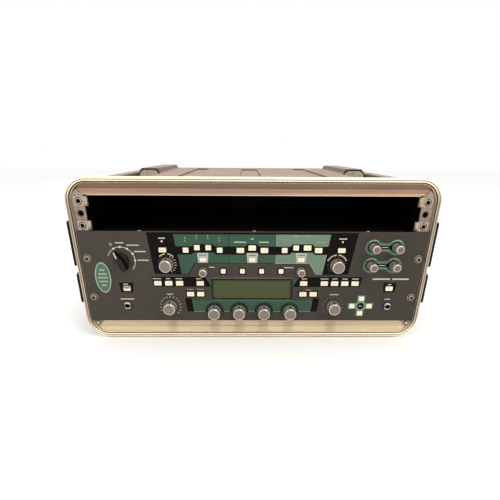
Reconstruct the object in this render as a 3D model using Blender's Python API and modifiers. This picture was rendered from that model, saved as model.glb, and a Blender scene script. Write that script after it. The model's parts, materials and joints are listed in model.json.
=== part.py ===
"""Rack effects unit: a three-unit effects processor bolted into a four-unit moulded rack case.

Everything is laid out in the panel frame, an empty on the front panel's lower edge: x runs to the
right, y runs into the rack from the panel's front face, and z runs up from the panel's lower edge.
The world origin is on the floor under the middle of the case. All sizes are in metres.
"""

import math

import bmesh
import bpy
from mathutils import Matrix, Vector

# --- Rack standard -------------------------------------------------------------------------------
RACK_UNIT = 0.04445
CASE_UNITS = 4
RAIL_FOOT = -0.00043                       # the panel stands this far above its rack space
UNIT_HOLES = (0.00635, 0.02223, 0.03810)   # hole heights within one rack unit
SCREW_X = 0.23256
SCREW_HEIGHTS = (0.03767, 0.09482)

# --- Front panel and what is behind it -----------------------------------------------------------
PANEL_WIDTH = 0.4826
PANEL_HEIGHT = 0.1325
PANEL_THICKNESS = 0.0030
FIT_GAP = 0.0004
CHASSIS_HALF = 0.2150
CHASSIS_DEPTH = 0.2140
CHASSIS_HEIGHT = 0.1280
SHEET = 0.0015
BOARD_FRONT = 0.0120
BOARD_THICKNESS = 0.0016

# --- Case ----------------------------------------------------------------------------------------
RIM_HALF = 0.2493
RIM_LOW = -0.0259
RIM_HIGH = 0.2012
RIM_RADIUS = 0.0303
RIM_FRONT = -0.0012
RIM_REAR = 0.0160
RIM_INSET = 0.0070
SHELL_FRONT = RIM_REAR + 0.0003
SHELL_REAR = 0.4200
SHELL_FRONT_HALF = 0.2450
SHELL_REAR_HALF = 0.2464
SHELL_FRONT_RISE = 0.1089                  # from mid-height to the top at the front end
SHELL_REAR_RISE = 0.1094
SHELL_RADIUS = 0.0230
SHELL_WALL = 0.0045
MID_HEIGHT = (RIM_LOW + RIM_HIGH) / 2
RIDGE_RISE = 0.1164                        # from mid-height to the flat of a stacking ridge
RIDGE_INNER = 0.1590
RIDGE_OUTER = 0.2055
RIDGE_SLOPE = 0.0085
TOP_RIDGE_FRONT = 0.2050
BOTTOM_RIDGE_FRONT = 0.0350
NEST_FRONT = 0.0260                        # a nest for a case above runs from here to the ridge
NEST_DROP = 0.0080
CHANNEL_DROP = 0.0026
COVER_REAR = 0.4450
RIB_REAR = 0.4500                          # the rear cover's upright ribs stand out to here
CORNER_STEPS = 6

# --- Controls ------------------------------------------------------------------------------------
SHAFT_RADIUS = 0.0030
SHAFT_HOLE = 0.0038
SHAFT_END = 0.0095
KNOB_LIFT = 0.0008
SWITCH_FRONT = 0.0100
KEY_PROUD = 0.0016
KEY_WEB_FRONT = 0.0036
KEY_WEB_REAR = 0.0046
KEY_STEM_END = 0.0088
KEY_STEM = 0.0030
KEY_LIP = 0.0010
KEY_GAP = 0.00035

SMALL_KNOB = (0.0059, 0.0120)
LARGE_KNOB = (0.0090, 0.0155)
EFFECT_KNOB = (0.0061, 0.0170)
KNOBS = {
    "input_knob": (-0.1225, 0.0870, LARGE_KNOB),
    "output_knob": (0.1180, 0.0860, LARGE_KNOB),
    "gain_knob": (-0.1222, 0.0233, LARGE_KNOB),
    "volume_knob": (0.1186, 0.0232, LARGE_KNOB),
    "type_knob": (-0.0716, 0.0763, SMALL_KNOB),
    "browse_knob": (0.0674, 0.0767, SMALL_KNOB),
    "soft_knob_1": (-0.0576, 0.0155, LARGE_KNOB),
    "soft_knob_2": (-0.0209, 0.0155, LARGE_KNOB),
    "soft_knob_3": (0.0159, 0.0155, LARGE_KNOB),
    "soft_knob_4": (0.0543, 0.0155, LARGE_KNOB),
    "effect_knob_1": (0.1670, 0.1115, EFFECT_KNOB),
    "effect_knob_2": (0.1992, 0.1115, EFFECT_KNOB),
    "effect_knob_3": (0.1670, 0.0858, EFFECT_KNOB),
    "effect_knob_4": (0.1992, 0.0858, EFFECT_KNOB),
}
SELECTOR_X = -0.1855
SELECTOR_Z = 0.0920
SELECTOR_REST = math.radians(120)          # pointer direction, anticlockwise from +X

SQUARE_KEY = (0.0076, 0.0068)
WIDE_KEY = (0.0102, 0.0068)
ROW_KEY = (0.0102, 0.0064)
SOFT_KEY = (0.0066, 0.0064)
NAV_KEY = (0.0078, 0.0066)
PLATE_KEY = (0.0092, 0.0058)

SINGLE_KEYS = {
    "input_key": (-0.1270, 0.1070, ROW_KEY),
    "output_key": (0.1230, 0.1069, ROW_KEY),
    "soft_key_1": (-0.0433, 0.0768, SOFT_KEY),
    "soft_key_2": (-0.0159, 0.0768, SOFT_KEY),
    "soft_key_3": (0.0115, 0.0768, SOFT_KEY),
    "soft_key_4": (0.0392, 0.0768, SOFT_KEY),
    "section_key_1": (-0.0714, 0.0935, PLATE_KEY),
    "section_key_2": (-0.0020, 0.0935, PLATE_KEY),
    "section_key_3": (0.0669, 0.0935, PLATE_KEY),
    "tap_key": (-0.1832, 0.0506, ROW_KEY),
    "exit_key": (0.1984, 0.0512, ROW_KEY),
    "nav_key_up": (0.1598, 0.0356, NAV_KEY),
    "nav_key_down": (0.1599, 0.0124, NAV_KEY),
    "nav_key_left": (0.1469, 0.0239, NAV_KEY),
    "nav_key_right": (0.1726, 0.0239, NAV_KEY),
}
# A key bank is one moulding: its caps, and the bars behind the panel that join them.
KEY_BANKS = {
    "stomp_keys": (
        ((-0.0948, 0.1070, SQUARE_KEY), (-0.0790, 0.1105, SQUARE_KEY),
         (-0.0633, 0.1105, SQUARE_KEY), (-0.0475, 0.1070, SQUARE_KEY)),
        ((-0.0996, 0.1060, -0.0427, 0.1116),)),
    "stack_keys": (
        ((-0.0187, 0.1068, WIDE_KEY), (-0.0023, 0.1102, WIDE_KEY), (0.0148, 0.1068, WIDE_KEY)),
        ((-0.0248, 0.1058, 0.0209, 0.1113),)),
    "effect_keys": (
        ((0.0431, 0.1070, SQUARE_KEY), (0.0589, 0.1105, SQUARE_KEY),
         (0.0748, 0.1105, WIDE_KEY), (0.0905, 0.1070, WIDE_KEY)),
        ((0.0383, 0.1060, 0.0966, 0.1116),)),
    "left_row_keys": (
        ((-0.1378, 0.0589, ROW_KEY), (-0.1222, 0.0589, ROW_KEY), (-0.1066, 0.0589, ROW_KEY),
         (-0.0769, 0.0589, ROW_KEY), (-0.0917, 0.0424, ROW_KEY), (-0.0770, 0.0424, ROW_KEY)),
        ((-0.1440, 0.0564, -0.0707, 0.0614), (-0.0802, 0.0398, -0.0738, 0.0600),
         (-0.0979, 0.0398, -0.0708, 0.0450))),
    "right_row_keys": (
        ((0.0727, 0.0589, ROW_KEY), (0.1027, 0.0589, ROW_KEY), (0.1177, 0.0589, ROW_KEY),
         (0.1324, 0.0589, ROW_KEY), (0.1475, 0.0589, ROW_KEY), (0.0726, 0.0424, ROW_KEY),
         (0.0877, 0.0424, ROW_KEY)),
        ((0.0665, 0.0564, 0.1537, 0.0614), (0.0694, 0.0398, 0.0758, 0.0600),
         (0.0664, 0.0398, 0.0939, 0.0450))),
}

SCREEN_LEFT, SCREEN_RIGHT = -0.0595, 0.0555
SCREEN_LOW, SCREEN_HIGH = 0.0345, 0.0638
JACKS = {"phones_jack": (-0.1854, 0.0247), "input_jack": (0.1998, 0.0238)}
JACK_BODY = 0.0150
JACK_BUSH = 0.0046
JACK_NUT = 0.0062
JACK_BORE = 0.0033

# --- Latches -------------------------------------------------------------------------------------
LATCH_LOW = 0.0275
LATCH_HIGH = 0.1436
LATCH_NOTCH = (0.0692, 0.0826)
LATCH_TIP = 0.0050
FRONT_PIVOT = (0.2535, 0.0720)             # (x, depth) of the right front latch's axis
REAR_PIVOT = (0.2545, 0.3700)
BARREL_RADIUS = 0.0030

# --- World placement -----------------------------------------------------------------------------
FRONT_MOST = -EFFECT_KNOB[1]
PANEL_FRAME_Y = -(FRONT_MOST + RIB_REAR) / 2
PANEL_FRAME_Z = RIDGE_RISE - MID_HEIGHT

# --- Scene helpers -------------------------------------------------------------------------------
for old in list(bpy.data.objects):
    bpy.data.objects.remove(old, do_unlink=True)

part_collection = bpy.data.collections.new("rack_effects_unit")
tool_collection = bpy.data.collections.new("cutters")
for collection in (part_collection, tool_collection):
    bpy.context.scene.collection.children.link(collection)

panel_frame = bpy.data.objects.new("panel_frame", None)
panel_frame.location = (0.0, PANEL_FRAME_Y, PANEL_FRAME_Z)
part_collection.objects.link(panel_frame)


def make_finish(name, colour, roughness, metallic=0.0):
    """Returns a Principled material with one colour."""
    finish = bpy.data.materials.new(name)
    finish.use_nodes = True
    shader = finish.node_tree.nodes["Principled BSDF"]
    shader.inputs["Base Color"].default_value = (*colour, 1.0)
    shader.inputs["Roughness"].default_value = roughness
    shader.inputs["Metallic"].default_value = metallic
    return finish


TAUPE_PLASTIC = make_finish("taupe_plastic", (0.36, 0.28, 0.22), 0.55)
RIM_METAL = make_finish("rim_metal", (0.62, 0.50, 0.38), 0.35, 0.9)
RAIL_STEEL = make_finish("rail_steel", (0.42, 0.31, 0.24), 0.45, 0.7)
PANEL_PAINT = make_finish("panel_paint", (0.080, 0.070, 0.062), 0.55)
DARK_STEEL = make_finish("dark_steel", (0.03, 0.03, 0.03), 0.5, 0.6)
BOARD_GREEN = make_finish("board_green", (0.02, 0.12, 0.05), 0.6)
KEY_CAP = make_finish("key_cap", (0.90, 0.86, 0.70), 0.4)
KNOB_METAL = make_finish("knob_metal", (0.55, 0.50, 0.47), 0.3, 0.8)
BLACK_PLASTIC = make_finish("black_plastic", (0.015, 0.014, 0.013), 0.45)
NICKEL = make_finish("nickel", (0.65, 0.62, 0.58), 0.25, 1.0)
SCREEN_GLASS = make_finish("screen_glass", (0.09, 0.09, 0.035), 0.2)


def place(obj, finish, location=(0.0, 0.0, 0.0)):
    """Puts an object into the part at a place in the panel frame."""
    obj.data.materials.append(finish)
    obj.location = location
    obj.parent = panel_frame
    part_collection.objects.link(obj)
    return obj


def mesh_object(name, shape):
    """Turns a bmesh into an object."""
    mesh = bpy.data.meshes.new(name)
    shape.to_mesh(mesh)
    shape.free()
    return bpy.data.objects.new(name, mesh)


def combine(target, shape, operation):
    """Joins a bmesh to the target, or cuts it out, with a Boolean modifier."""
    tool = mesh_object(f"{target.name}_{operation.lower()}_{len(target.modifiers)}", shape)
    tool.location = target.location
    tool.parent = panel_frame
    tool.hide_render = True
    tool.display_type = "WIRE"
    tool_collection.objects.link(tool)
    modifier = target.modifiers.new(tool.name, "BOOLEAN")
    modifier.operation = operation
    modifier.solver = "EXACT"
    modifier.object = tool


def add_box(shape, low, high):
    """Adds a box between two corners."""
    low, high = Vector(low), Vector(high)
    size = high - low
    matrix = Matrix.Translation((low + high) / 2) @ Matrix.Diagonal((*size, 1.0))
    return bmesh.ops.create_cube(shape, size=1.0, matrix=matrix)["verts"]


def add_rod(shape, x, z, near, far, radius, segments=16):
    """Adds a cylinder along y, from the depth near to the depth far."""
    matrix = Matrix.Translation((x, (near + far) / 2, z)) @ Matrix.Rotation(math.pi / 2, 4, "X")
    bmesh.ops.create_cone(shape, cap_ends=True, segments=segments, radius1=radius,
                          radius2=radius, depth=far - near, matrix=matrix)


def add_prism(shape, outline, vector):
    """Adds a closed prism: a flat outline of points, extruded along a vector."""
    face = shape.faces.new([shape.verts.new(point) for point in outline])
    made = bmesh.ops.extrude_face_region(shape, geom=[face])["geom"]
    moved = [item for item in made if isinstance(item, bmesh.types.BMVert)]
    bmesh.ops.translate(shape, verts=moved, vec=vector)
    bmesh.ops.recalc_face_normals(shape, faces=shape.faces)


def box_object(name, finish, low, high):
    """Makes a box between two corners, with its origin at its centre."""
    centre = (Vector(low) + Vector(high)) / 2
    shape = bmesh.new()
    add_box(shape, Vector(low) - centre, Vector(high) - centre)
    return place(mesh_object(name, shape), finish, centre)


def turned_object(name, finish, profile, steps, x, z):
    """Turns a profile of (radius, distance in front of the panel) about an axis along y."""
    mesh = bpy.data.meshes.new(name)
    points = [(radius, 0.0, height) for radius, height in profile]
    mesh.from_pydata(points, [(i, i + 1) for i in range(len(points) - 1)], [])
    obj = place(bpy.data.objects.new(name, mesh), finish, (x, 0.0, z))
    obj.rotation_euler = (math.pi / 2, 0.0, 0.0)
    screw = obj.modifiers.new("turn", "SCREW")
    screw.steps = steps
    screw.render_steps = steps
    screw.use_merge_vertices = True
    screw.merge_threshold = 0.00001
    return obj


# --- Case ----------------------------------------------------------------------------------------
def shell_section(depth, inset):
    """Half-width and half-height of the moulded shell at a depth, inside an inset."""
    share = (depth - SHELL_FRONT) / (SHELL_REAR - SHELL_FRONT)
    half = SHELL_FRONT_HALF + share * (SHELL_REAR_HALF - SHELL_FRONT_HALF)
    rise = SHELL_FRONT_RISE + share * (SHELL_REAR_RISE - SHELL_FRONT_RISE)
    return half - inset, rise - inset


def add_tapered_block(shape, near, far, inset, radius):
    """Adds a block that follows the shell's taper, with rounded edges along its length."""
    vertices = bmesh.ops.create_cube(shape, size=2.0)["verts"]
    for vertex in vertices:
        depth = near if vertex.co.y < 0 else far
        half, rise = shell_section(depth, inset)
        vertex.co = (vertex.co.x * half, depth, MID_HEIGHT + vertex.co.z * rise)
    long_edges = [edge for edge in shape.edges
                  if abs(edge.verts[0].co.y - edge.verts[1].co.y) > (far - near) / 2]
    bmesh.ops.bevel(shape, geom=long_edges, offset=radius, segments=CORNER_STEPS,
                    profile=0.5, affect="EDGES")


def add_ridge(shape, side, up, near):
    """Adds a stacking ridge: a bar with sloping flanks, from a depth to the shell's rear end."""
    root = MID_HEIGHT + up * (SHELL_FRONT_RISE - NEST_DROP - 0.0010)
    flat = MID_HEIGHT + up * RIDGE_RISE
    vertices = bmesh.ops.create_cube(shape, size=1.0)["verts"]
    for vertex in vertices:
        on_flat = vertex.co.z > 0
        lean = RIDGE_SLOPE if on_flat else 0.0
        across = RIDGE_INNER + lean if vertex.co.x < 0 else RIDGE_OUTER - lean
        depth = near + lean / 2 if vertex.co.y < 0 else SHELL_REAR - lean / 2
        vertex.co = (side * across, depth, flat if on_flat else root)
    bmesh.ops.recalc_face_normals(shape, faces=shape.faces)


def make_shell():
    """The moulded tube of the case, with ridges, nests, shallow channels and latch lugs."""
    shape = bmesh.new()
    add_tapered_block(shape, SHELL_FRONT, SHELL_REAR, 0.0, SHELL_RADIUS)
    shell = place(mesh_object("case_shell", shape), TAUPE_PLASTIC)

    additions = bmesh.new()
    for side in (-1, 1):
        add_ridge(additions, side, 1, TOP_RIDGE_FRONT)
        add_ridge(additions, side, -1, BOTTOM_RIDGE_FRONT)
        for pivot_x, pivot_depth in (FRONT_PIVOT, REAR_PIVOT):
            for low, high in ((LATCH_LOW - 0.0120, LATCH_LOW - 0.0005),
                              (LATCH_HIGH + 0.0005, LATCH_HIGH + 0.0120)):
                near, far = sorted((side * (SHELL_FRONT_HALF - 0.0030), side * (pivot_x + 0.0035)))
                add_box(additions, (near, pivot_depth - 0.0060, low),
                        (far, pivot_depth + 0.0060, high))
    combine(shell, additions, "UNION")

    hollow = bmesh.new()
    add_tapered_block(hollow, SHELL_FRONT - 0.010, SHELL_REAR + 0.010, SHELL_WALL,
                      SHELL_RADIUS - SHELL_WALL)
    combine(shell, hollow, "DIFFERENCE")

    nest_floor = MID_HEIGHT + SHELL_FRONT_RISE - NEST_DROP
    wall_under = MID_HEIGHT + SHELL_FRONT_RISE - SHELL_WALL
    margin = SHELL_WALL - 0.0005
    troughs = bmesh.new()
    nests = bmesh.new()
    for side in (-1, 1):
        near, far = sorted((side * (RIDGE_INNER - margin), side * (RIDGE_OUTER + margin)))
        add_box(troughs, (near, NEST_FRONT - margin, nest_floor - margin),
                (far, TOP_RIDGE_FRONT + margin, wall_under + 0.0020))
        near, far = sorted((side * RIDGE_INNER, side * RIDGE_OUTER))
        add_box(nests, (near, NEST_FRONT, nest_floor), (far, TOP_RIDGE_FRONT, nest_floor + 0.030))
    combine(shell, troughs, "UNION")
    combine(shell, nests, "DIFFERENCE")

    channels = bmesh.new()
    for middle, width, far in ((-0.1050, 0.0250, 0.400), (-0.0035, 0.0330, 0.365),
                               (0.1050, 0.0250, 0.400)):
        near_top = shell_section(NEST_FRONT, CHANNEL_DROP)[1]
        lift = shell_section(far, CHANNEL_DROP)[1] - near_top
        low = MID_HEIGHT + near_top
        vertices = add_box(channels, (middle - width / 2, NEST_FRONT, low),
                           (middle + width / 2, far, low + 0.020))
        for vertex in vertices:
            if vertex.co.y > far - 0.001:
                vertex.co.z += lift
    combine(shell, channels, "DIFFERENCE")


def add_ring(shape, half, low, high, radius, depth):
    """Adds the corner points of a rounded rectangle at a depth and returns the vertices."""
    points = []
    for corner, (sign_x, sign_z) in enumerate(((1, 1), (-1, 1), (-1, -1), (1, -1))):
        centre_z = high - radius if sign_z > 0 else low + radius
        for step in range(CORNER_STEPS + 1):
            angle = (corner + step / CORNER_STEPS) * math.pi / 2
            points.append((sign_x * (half - radius) + radius * math.cos(angle), depth,
                           centre_z + radius * math.sin(angle)))
    return [shape.verts.new(point) for point in points]


def make_rim():
    """The metal front rim: a grooved section carried round a rounded rectangle."""
    section = ((0.0000, RIM_REAR), (0.0000, 0.0002), (0.0012, RIM_FRONT), (0.0050, RIM_FRONT),
               (0.0056, 0.0016), (0.0062, 0.0016), (0.0064, 0.0002),
               (RIM_INSET, 0.0004), (RIM_INSET, RIM_REAR))
    shape = bmesh.new()
    rings = [add_ring(shape, RIM_HALF - inset, RIM_LOW + inset, RIM_HIGH - inset,
                      RIM_RADIUS - inset, depth) for inset, depth in section]
    for near, far in zip(rings, rings[1:] + rings[:1]):
        for i in range(len(near)):
            shape.faces.new((near[i - 1], near[i], far[i], far[i - 1]))
    bmesh.ops.recalc_face_normals(shape, faces=shape.faces)
    return place(mesh_object("front_rim", shape), RIM_METAL)


RAIL_FACE = PANEL_THICKNESS + FIT_GAP
RAIL_SHEET = 0.0020
RAIL_INNER = 0.2254
RAIL_FLANGE_OUTER = 0.2395
RAIL_DEPTH = 0.0600
FRAME_HALF = RIM_HALF - RIM_INSET - FIT_GAP     # the rail frame fills the inside of the rim
FRAME_LOW = RIM_LOW + RIM_INSET + FIT_GAP
FRAME_HIGH = RIM_HIGH - RIM_INSET - FIT_GAP
FRAME_RADIUS = RIM_RADIUS - RIM_INSET - FIT_GAP
CHAMFER_HALF_ANGLE = 20                         # degrees, each side of a corner's diagonal
OPENING_LOW = -0.0008
OPENING_HIGH = RAIL_FOOT + CASE_UNITS * RACK_UNIT + 0.0010
MITRE_GAP = 0.0003
LIP_REAR = 0.0210


def frame_corner(up, angles):
    """Points of the frame's upper or lower right corner at angles above or below the horizontal."""
    centre_x = FRAME_HALF - FRAME_RADIUS
    centre_z = FRAME_HIGH - FRAME_RADIUS if up > 0 else FRAME_LOW + FRAME_RADIUS
    return [(centre_x + FRAME_RADIUS * math.cos(math.radians(angle)),
             centre_z + up * FRAME_RADIUS * math.sin(math.radians(angle))) for angle in angles]


def mitre_point(up):
    """Where the mitre of a corner meets the chamfer that cuts the corner off."""
    first, last = frame_corner(up, (45 - CHAMFER_HALF_ANGLE, 45 + CHAMFER_HALF_ANGLE))
    return (first[0] + last[0]) / 2, (first[1] + last[1]) / 2


def make_rail(side, name):
    """A rack rail: a drilled face with mitred ends, and a flange along the case wall."""
    steps = (0, 12, 45 - CHAMFER_HALF_ANGLE)
    outline = ([(RAIL_INNER, OPENING_LOW), mitre_point(-1)] + frame_corner(-1, steps[::-1])
               + frame_corner(1, steps) + [mitre_point(1), (RAIL_INNER, OPENING_HIGH)])
    shape = bmesh.new()
    add_prism(shape, [(side * x, RAIL_FACE, z) for x, z in outline], (0.0, RAIL_SHEET, 0.0))
    rail = place(mesh_object(name, shape), RAIL_STEEL)

    flange = bmesh.new()
    near, far = sorted((side * (RAIL_FLANGE_OUTER - RAIL_SHEET), side * RAIL_FLANGE_OUTER))
    add_box(flange, (near, RAIL_FACE + RAIL_SHEET / 2, 0.0060), (far, RAIL_DEPTH, 0.1690))
    combine(rail, flange, "UNION")

    holes = bmesh.new()
    for unit in range(CASE_UNITS):
        for height in UNIT_HOLES:
            z = RAIL_FOOT + unit * RACK_UNIT + height
            add_rod(holes, side * SCREW_X, z, 0.0, 0.010, 0.0034, segments=12)
    combine(rail, holes, "DIFFERENCE")


def make_bar(name, up, edge, end):
    """A cross bar of the rail frame, folded from sheet, with a stiffening lip behind it.

    It runs from the opening's edge to the frame's end, and its outer strip leans forward.
    """
    front = ((0.0040, 0.0000), (RAIL_FACE, 0.0005), (RAIL_FACE, 0.0022), (0.0042, 0.0028),
             (0.0042, 0.0092), (0.0032, 0.0098), (0.0012, abs(end - edge)))
    section = [(depth, edge + up * reach) for depth, reach in front]
    section += [(depth + RAIL_SHEET, z) for depth, z in reversed(section)]
    shape = bmesh.new()
    add_prism(shape, [(-FRAME_HALF, depth, z) for depth, z in section],
              (2 * FRAME_HALF, 0.0, 0.0))
    bar = place(mesh_object(name, shape), RAIL_STEEL)

    mitre = Vector(mitre_point(up))
    inner = Vector((RAIL_INNER, edge))
    beyond = inner - (mitre - inner) / 2
    outside = end + up * 0.010
    outline = [tuple(beyond), tuple(mitre)]
    outline += frame_corner(up, (45 + CHAMFER_HALF_ANGLE, 78, 90))
    outline += [(FRAME_HALF - FRAME_RADIUS, outside), (0.3000, outside), (0.3000, beyond.y)]
    ends = bmesh.new()
    for side in (-1, 1):
        add_prism(ends, [(side * (x - MITRE_GAP), -0.010, z) for x, z in outline],
                  (0.0, 0.050, 0.0))
    combine(bar, ends, "DIFFERENCE")

    lip = bmesh.new()
    low, high = sorted((edge + up * 0.0112, edge + up * 0.0128))
    add_box(lip, (-0.2150, RAIL_FACE, low), (0.2150, LIP_REAR, high))
    combine(bar, lip, "UNION")


def add_upright_rib(shape, middle):
    """Adds an upright rib with sloping sides to the back of the rear cover."""
    half_width, half_height, slope = 0.0220, 0.0820, 0.0060
    for vertex in bmesh.ops.create_cube(shape, size=2.0)["verts"]:
        lean = slope if vertex.co.y > 0 else 0.0
        depth = RIB_REAR if vertex.co.y > 0 else COVER_REAR - 0.0020
        vertex.co = (middle + vertex.co.x * (half_width - lean), depth,
                     MID_HEIGHT + vertex.co.z * (half_height - lean))


def make_rear_cover():
    """The lift-off rear cover: a shallow pan that closes the shell's rear end."""
    shape = bmesh.new()
    add_tapered_block(shape, SHELL_REAR + 0.0005, COVER_REAR, 0.0, SHELL_RADIUS)
    rear_edges = [edge for edge in shape.edges
                  if min(vertex.co.y for vertex in edge.verts) > COVER_REAR - 0.0001]
    bmesh.ops.bevel(shape, geom=rear_edges, offset=0.0060, segments=2, profile=0.5,
                    affect="EDGES")
    cover = place(mesh_object("rear_cover", shape), TAUPE_PLASTIC)
    ribs = bmesh.new()
    for middle in (-0.1735, 0.0, 0.1735):
        add_upright_rib(ribs, middle)
    combine(cover, ribs, "UNION")
    hollow = bmesh.new()
    add_tapered_block(hollow, SHELL_REAR - 0.010, COVER_REAR - SHELL_WALL, SHELL_WALL,
                      SHELL_RADIUS - SHELL_WALL)
    combine(cover, hollow, "DIFFERENCE")


def make_latch(name, side, pivot, reach):
    """A latch lever: a notched plate with a barrel on its pivot; reach is signed along y."""
    pivot_x, pivot_depth = pivot
    inner, outer = 0.0025, 0.0052
    plan = [(inner, 0.0), (inner, reach * 0.80), (-0.0022, reach * 0.96), (-0.0022, reach),
            (0.0016, reach), (outer, reach * 0.82), (outer, -reach * 0.03),
            (inner + 0.0010, -reach * 0.05)]
    shape = bmesh.new()
    add_prism(shape, [(side * x, y, LATCH_LOW) for x, y in plan],
              (0.0, 0.0, LATCH_HIGH - LATCH_LOW))
    latch = place(mesh_object(name, shape), BLACK_PLASTIC, (side * pivot_x, pivot_depth, 0.0))
    barrel = bmesh.new()
    middle = (LATCH_LOW + LATCH_HIGH) / 2
    bmesh.ops.create_cone(barrel, cap_ends=True, segments=12, radius1=BARREL_RADIUS,
                          radius2=BARREL_RADIUS, depth=LATCH_HIGH - LATCH_LOW - 0.0020,
                          matrix=Matrix.Translation((0.0, 0.0, middle)))
    combine(latch, barrel, "UNION")
    notch = bmesh.new()
    near, far = sorted((reach * 0.40, reach * 1.20))
    add_box(notch, (-0.0200, near, LATCH_NOTCH[0]), (0.0200, far, LATCH_NOTCH[1]))
    combine(latch, notch, "DIFFERENCE")


# --- Processor -----------------------------------------------------------------------------------
def all_keys():
    """Yields the centre and size of every key cap."""
    yield from SINGLE_KEYS.values()
    for caps, _ in KEY_BANKS.values():
        yield from caps


def knob_axes():
    """Yields the x and z of every turning control."""
    yield SELECTOR_X, SELECTOR_Z
    for x, z, _ in KNOBS.values():
        yield x, z


def make_front_panel():
    """The front panel, drilled and cut for every control, jack, screw and the screen."""
    half = PANEL_WIDTH / 2
    shape = bmesh.new()
    add_box(shape, (-half, 0.0, 0.0), (half, PANEL_THICKNESS, PANEL_HEIGHT))
    panel = place(mesh_object("front_panel", shape), PANEL_PAINT)
    near, far = -0.010, 0.010
    holes = bmesh.new()
    for x, z in knob_axes():
        add_rod(holes, x, z, near, far, SHAFT_HOLE, segments=12)
    for x, z in JACKS.values():
        add_rod(holes, x, z, near, far, JACK_BUSH + FIT_GAP, segments=16)
    for side in (-1, 1):
        for z in SCREW_HEIGHTS:
            add_rod(holes, side * SCREW_X, z, near, far, 0.0034, segments=12)
    for x, z, (width, height) in all_keys():
        half_width, half_height = width / 2 + KEY_GAP, height / 2 + KEY_GAP
        add_box(holes, (x - half_width, near, z - half_height),
                (x + half_width, far, z + half_height))
    add_box(holes, (SCREEN_LEFT, near, SCREEN_LOW), (SCREEN_RIGHT, far, SCREEN_HIGH))
    combine(panel, holes, "DIFFERENCE")


def make_chassis():
    """The folded tray, its lid and its rear panel with sockets."""
    half = CHASSIS_HALF
    front = RAIL_FACE
    tray_shape = bmesh.new()
    add_box(tray_shape, (-half, front, 0.0030), (half, CHASSIS_DEPTH, CHASSIS_HEIGHT))
    tray = place(mesh_object("chassis", tray_shape), DARK_STEEL)
    inside = bmesh.new()
    add_box(inside, (SHEET - half, -0.010, 0.0030 + SHEET), (half - SHEET, 0.300, 0.200))
    combine(tray, inside, "DIFFERENCE")

    lid_shape = bmesh.new()
    skirt = SHEET + FIT_GAP
    add_box(lid_shape, (-half - skirt, front, 0.1160), (half + skirt, CHASSIS_DEPTH, 0.1300))
    lid = place(mesh_object("top_cover", lid_shape), DARK_STEEL)
    under = bmesh.new()
    add_box(under, (-half - FIT_GAP, -0.010, 0.1000),
            (half + FIT_GAP, 0.300, CHASSIS_HEIGHT + FIT_GAP))
    combine(lid, under, "DIFFERENCE")

    back_shape = bmesh.new()
    back = CHASSIS_DEPTH - 0.0030
    inner = half - SHEET - FIT_GAP
    add_box(back_shape, (-inner, back, 0.0030 + SHEET + FIT_GAP),
            (inner, back + SHEET, CHASSIS_HEIGHT))
    rear_panel = place(mesh_object("rear_panel", back_shape), DARK_STEEL)
    sockets = bmesh.new()
    for row in (0.0350, 0.0800):
        for column in range(6):
            add_rod(sockets, -0.1850 + column * 0.0350, row, back + 0.0005, back + 0.0080,
                    0.0080, segments=12)
    add_box(sockets, (0.1350, back + 0.0005, 0.0250), (0.1650, back + 0.0060, 0.0470))
    combine(rear_panel, sockets, "UNION")


def make_front_board():
    """The control board: switch bodies and encoder bodies under every key and knob."""
    shape = bmesh.new()
    add_box(shape, (-0.2100, BOARD_FRONT, 0.0075), (0.2120, BOARD_FRONT + BOARD_THICKNESS, 0.1240))
    board = place(mesh_object("front_board", shape), BOARD_GREEN)
    clearance = bmesh.new()
    reach = JACK_BODY / 2 + 0.0010
    for x, z in JACKS.values():
        add_box(clearance, (x - reach, 0.0, z - reach), (x + reach, 0.050, z + reach))
    combine(board, clearance, "DIFFERENCE")
    bodies = bmesh.new()
    overlap = BOARD_FRONT + 0.0004
    for x, z in knob_axes():
        add_rod(bodies, x, z, SWITCH_FRONT, overlap, 0.0050, segments=8)
    for x, z, _ in all_keys():
        add_box(bodies, (x - 0.0030, SWITCH_FRONT, z - 0.0030), (x + 0.0030, overlap, z + 0.0030))
    combine(board, bodies, "UNION")


def make_screen():
    """The display module: a body behind the panel and a glass that stands in the window."""
    gap = 0.0003
    shape = bmesh.new()
    add_box(shape, (SCREEN_LEFT + gap, 0.0012, SCREEN_LOW + gap),
            (SCREEN_RIGHT - gap, 0.0042, SCREEN_HIGH - gap))
    screen = place(mesh_object("screen_module", shape), SCREEN_GLASS)
    body = bmesh.new()
    add_box(body, (SCREEN_LEFT - 0.0060, KEY_WEB_FRONT, SCREEN_LOW - 0.0040),
            (SCREEN_RIGHT + 0.0060, 0.0110, SCREEN_HIGH + 0.0040))
    combine(screen, body, "UNION")


def make_inside():
    """The main board on its posts, with its parts, and the power supply."""
    level = 0.0120
    shape = bmesh.new()
    add_box(shape, (-0.1950, 0.0300, level), (0.0850, 0.2000, level + BOARD_THICKNESS))
    board = place(mesh_object("main_board", shape), BOARD_GREEN)
    fittings = bmesh.new()
    for x in (-0.1880, 0.0780):
        for depth in (0.0370, 0.1930):
            add_box(fittings, (x - 0.0030, depth - 0.0030, 0.0050),
                    (x + 0.0030, depth + 0.0030, level + 0.0005))
    for x, depth, width, length, height in ((-0.1400, 0.1100, 0.060, 0.050, 0.028),
                                            (-0.0400, 0.0900, 0.035, 0.035, 0.006),
                                            (0.0350, 0.1400, 0.040, 0.025, 0.010)):
        add_box(fittings, (x - width / 2, depth - length / 2, level + 0.0010),
                (x + width / 2, depth + length / 2, level + height))
    combine(board, fittings, "UNION")
    box_object("power_supply", RIM_METAL, (0.1050, 0.0500, 0.0048), (0.2000, 0.1900, 0.0700))


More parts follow.
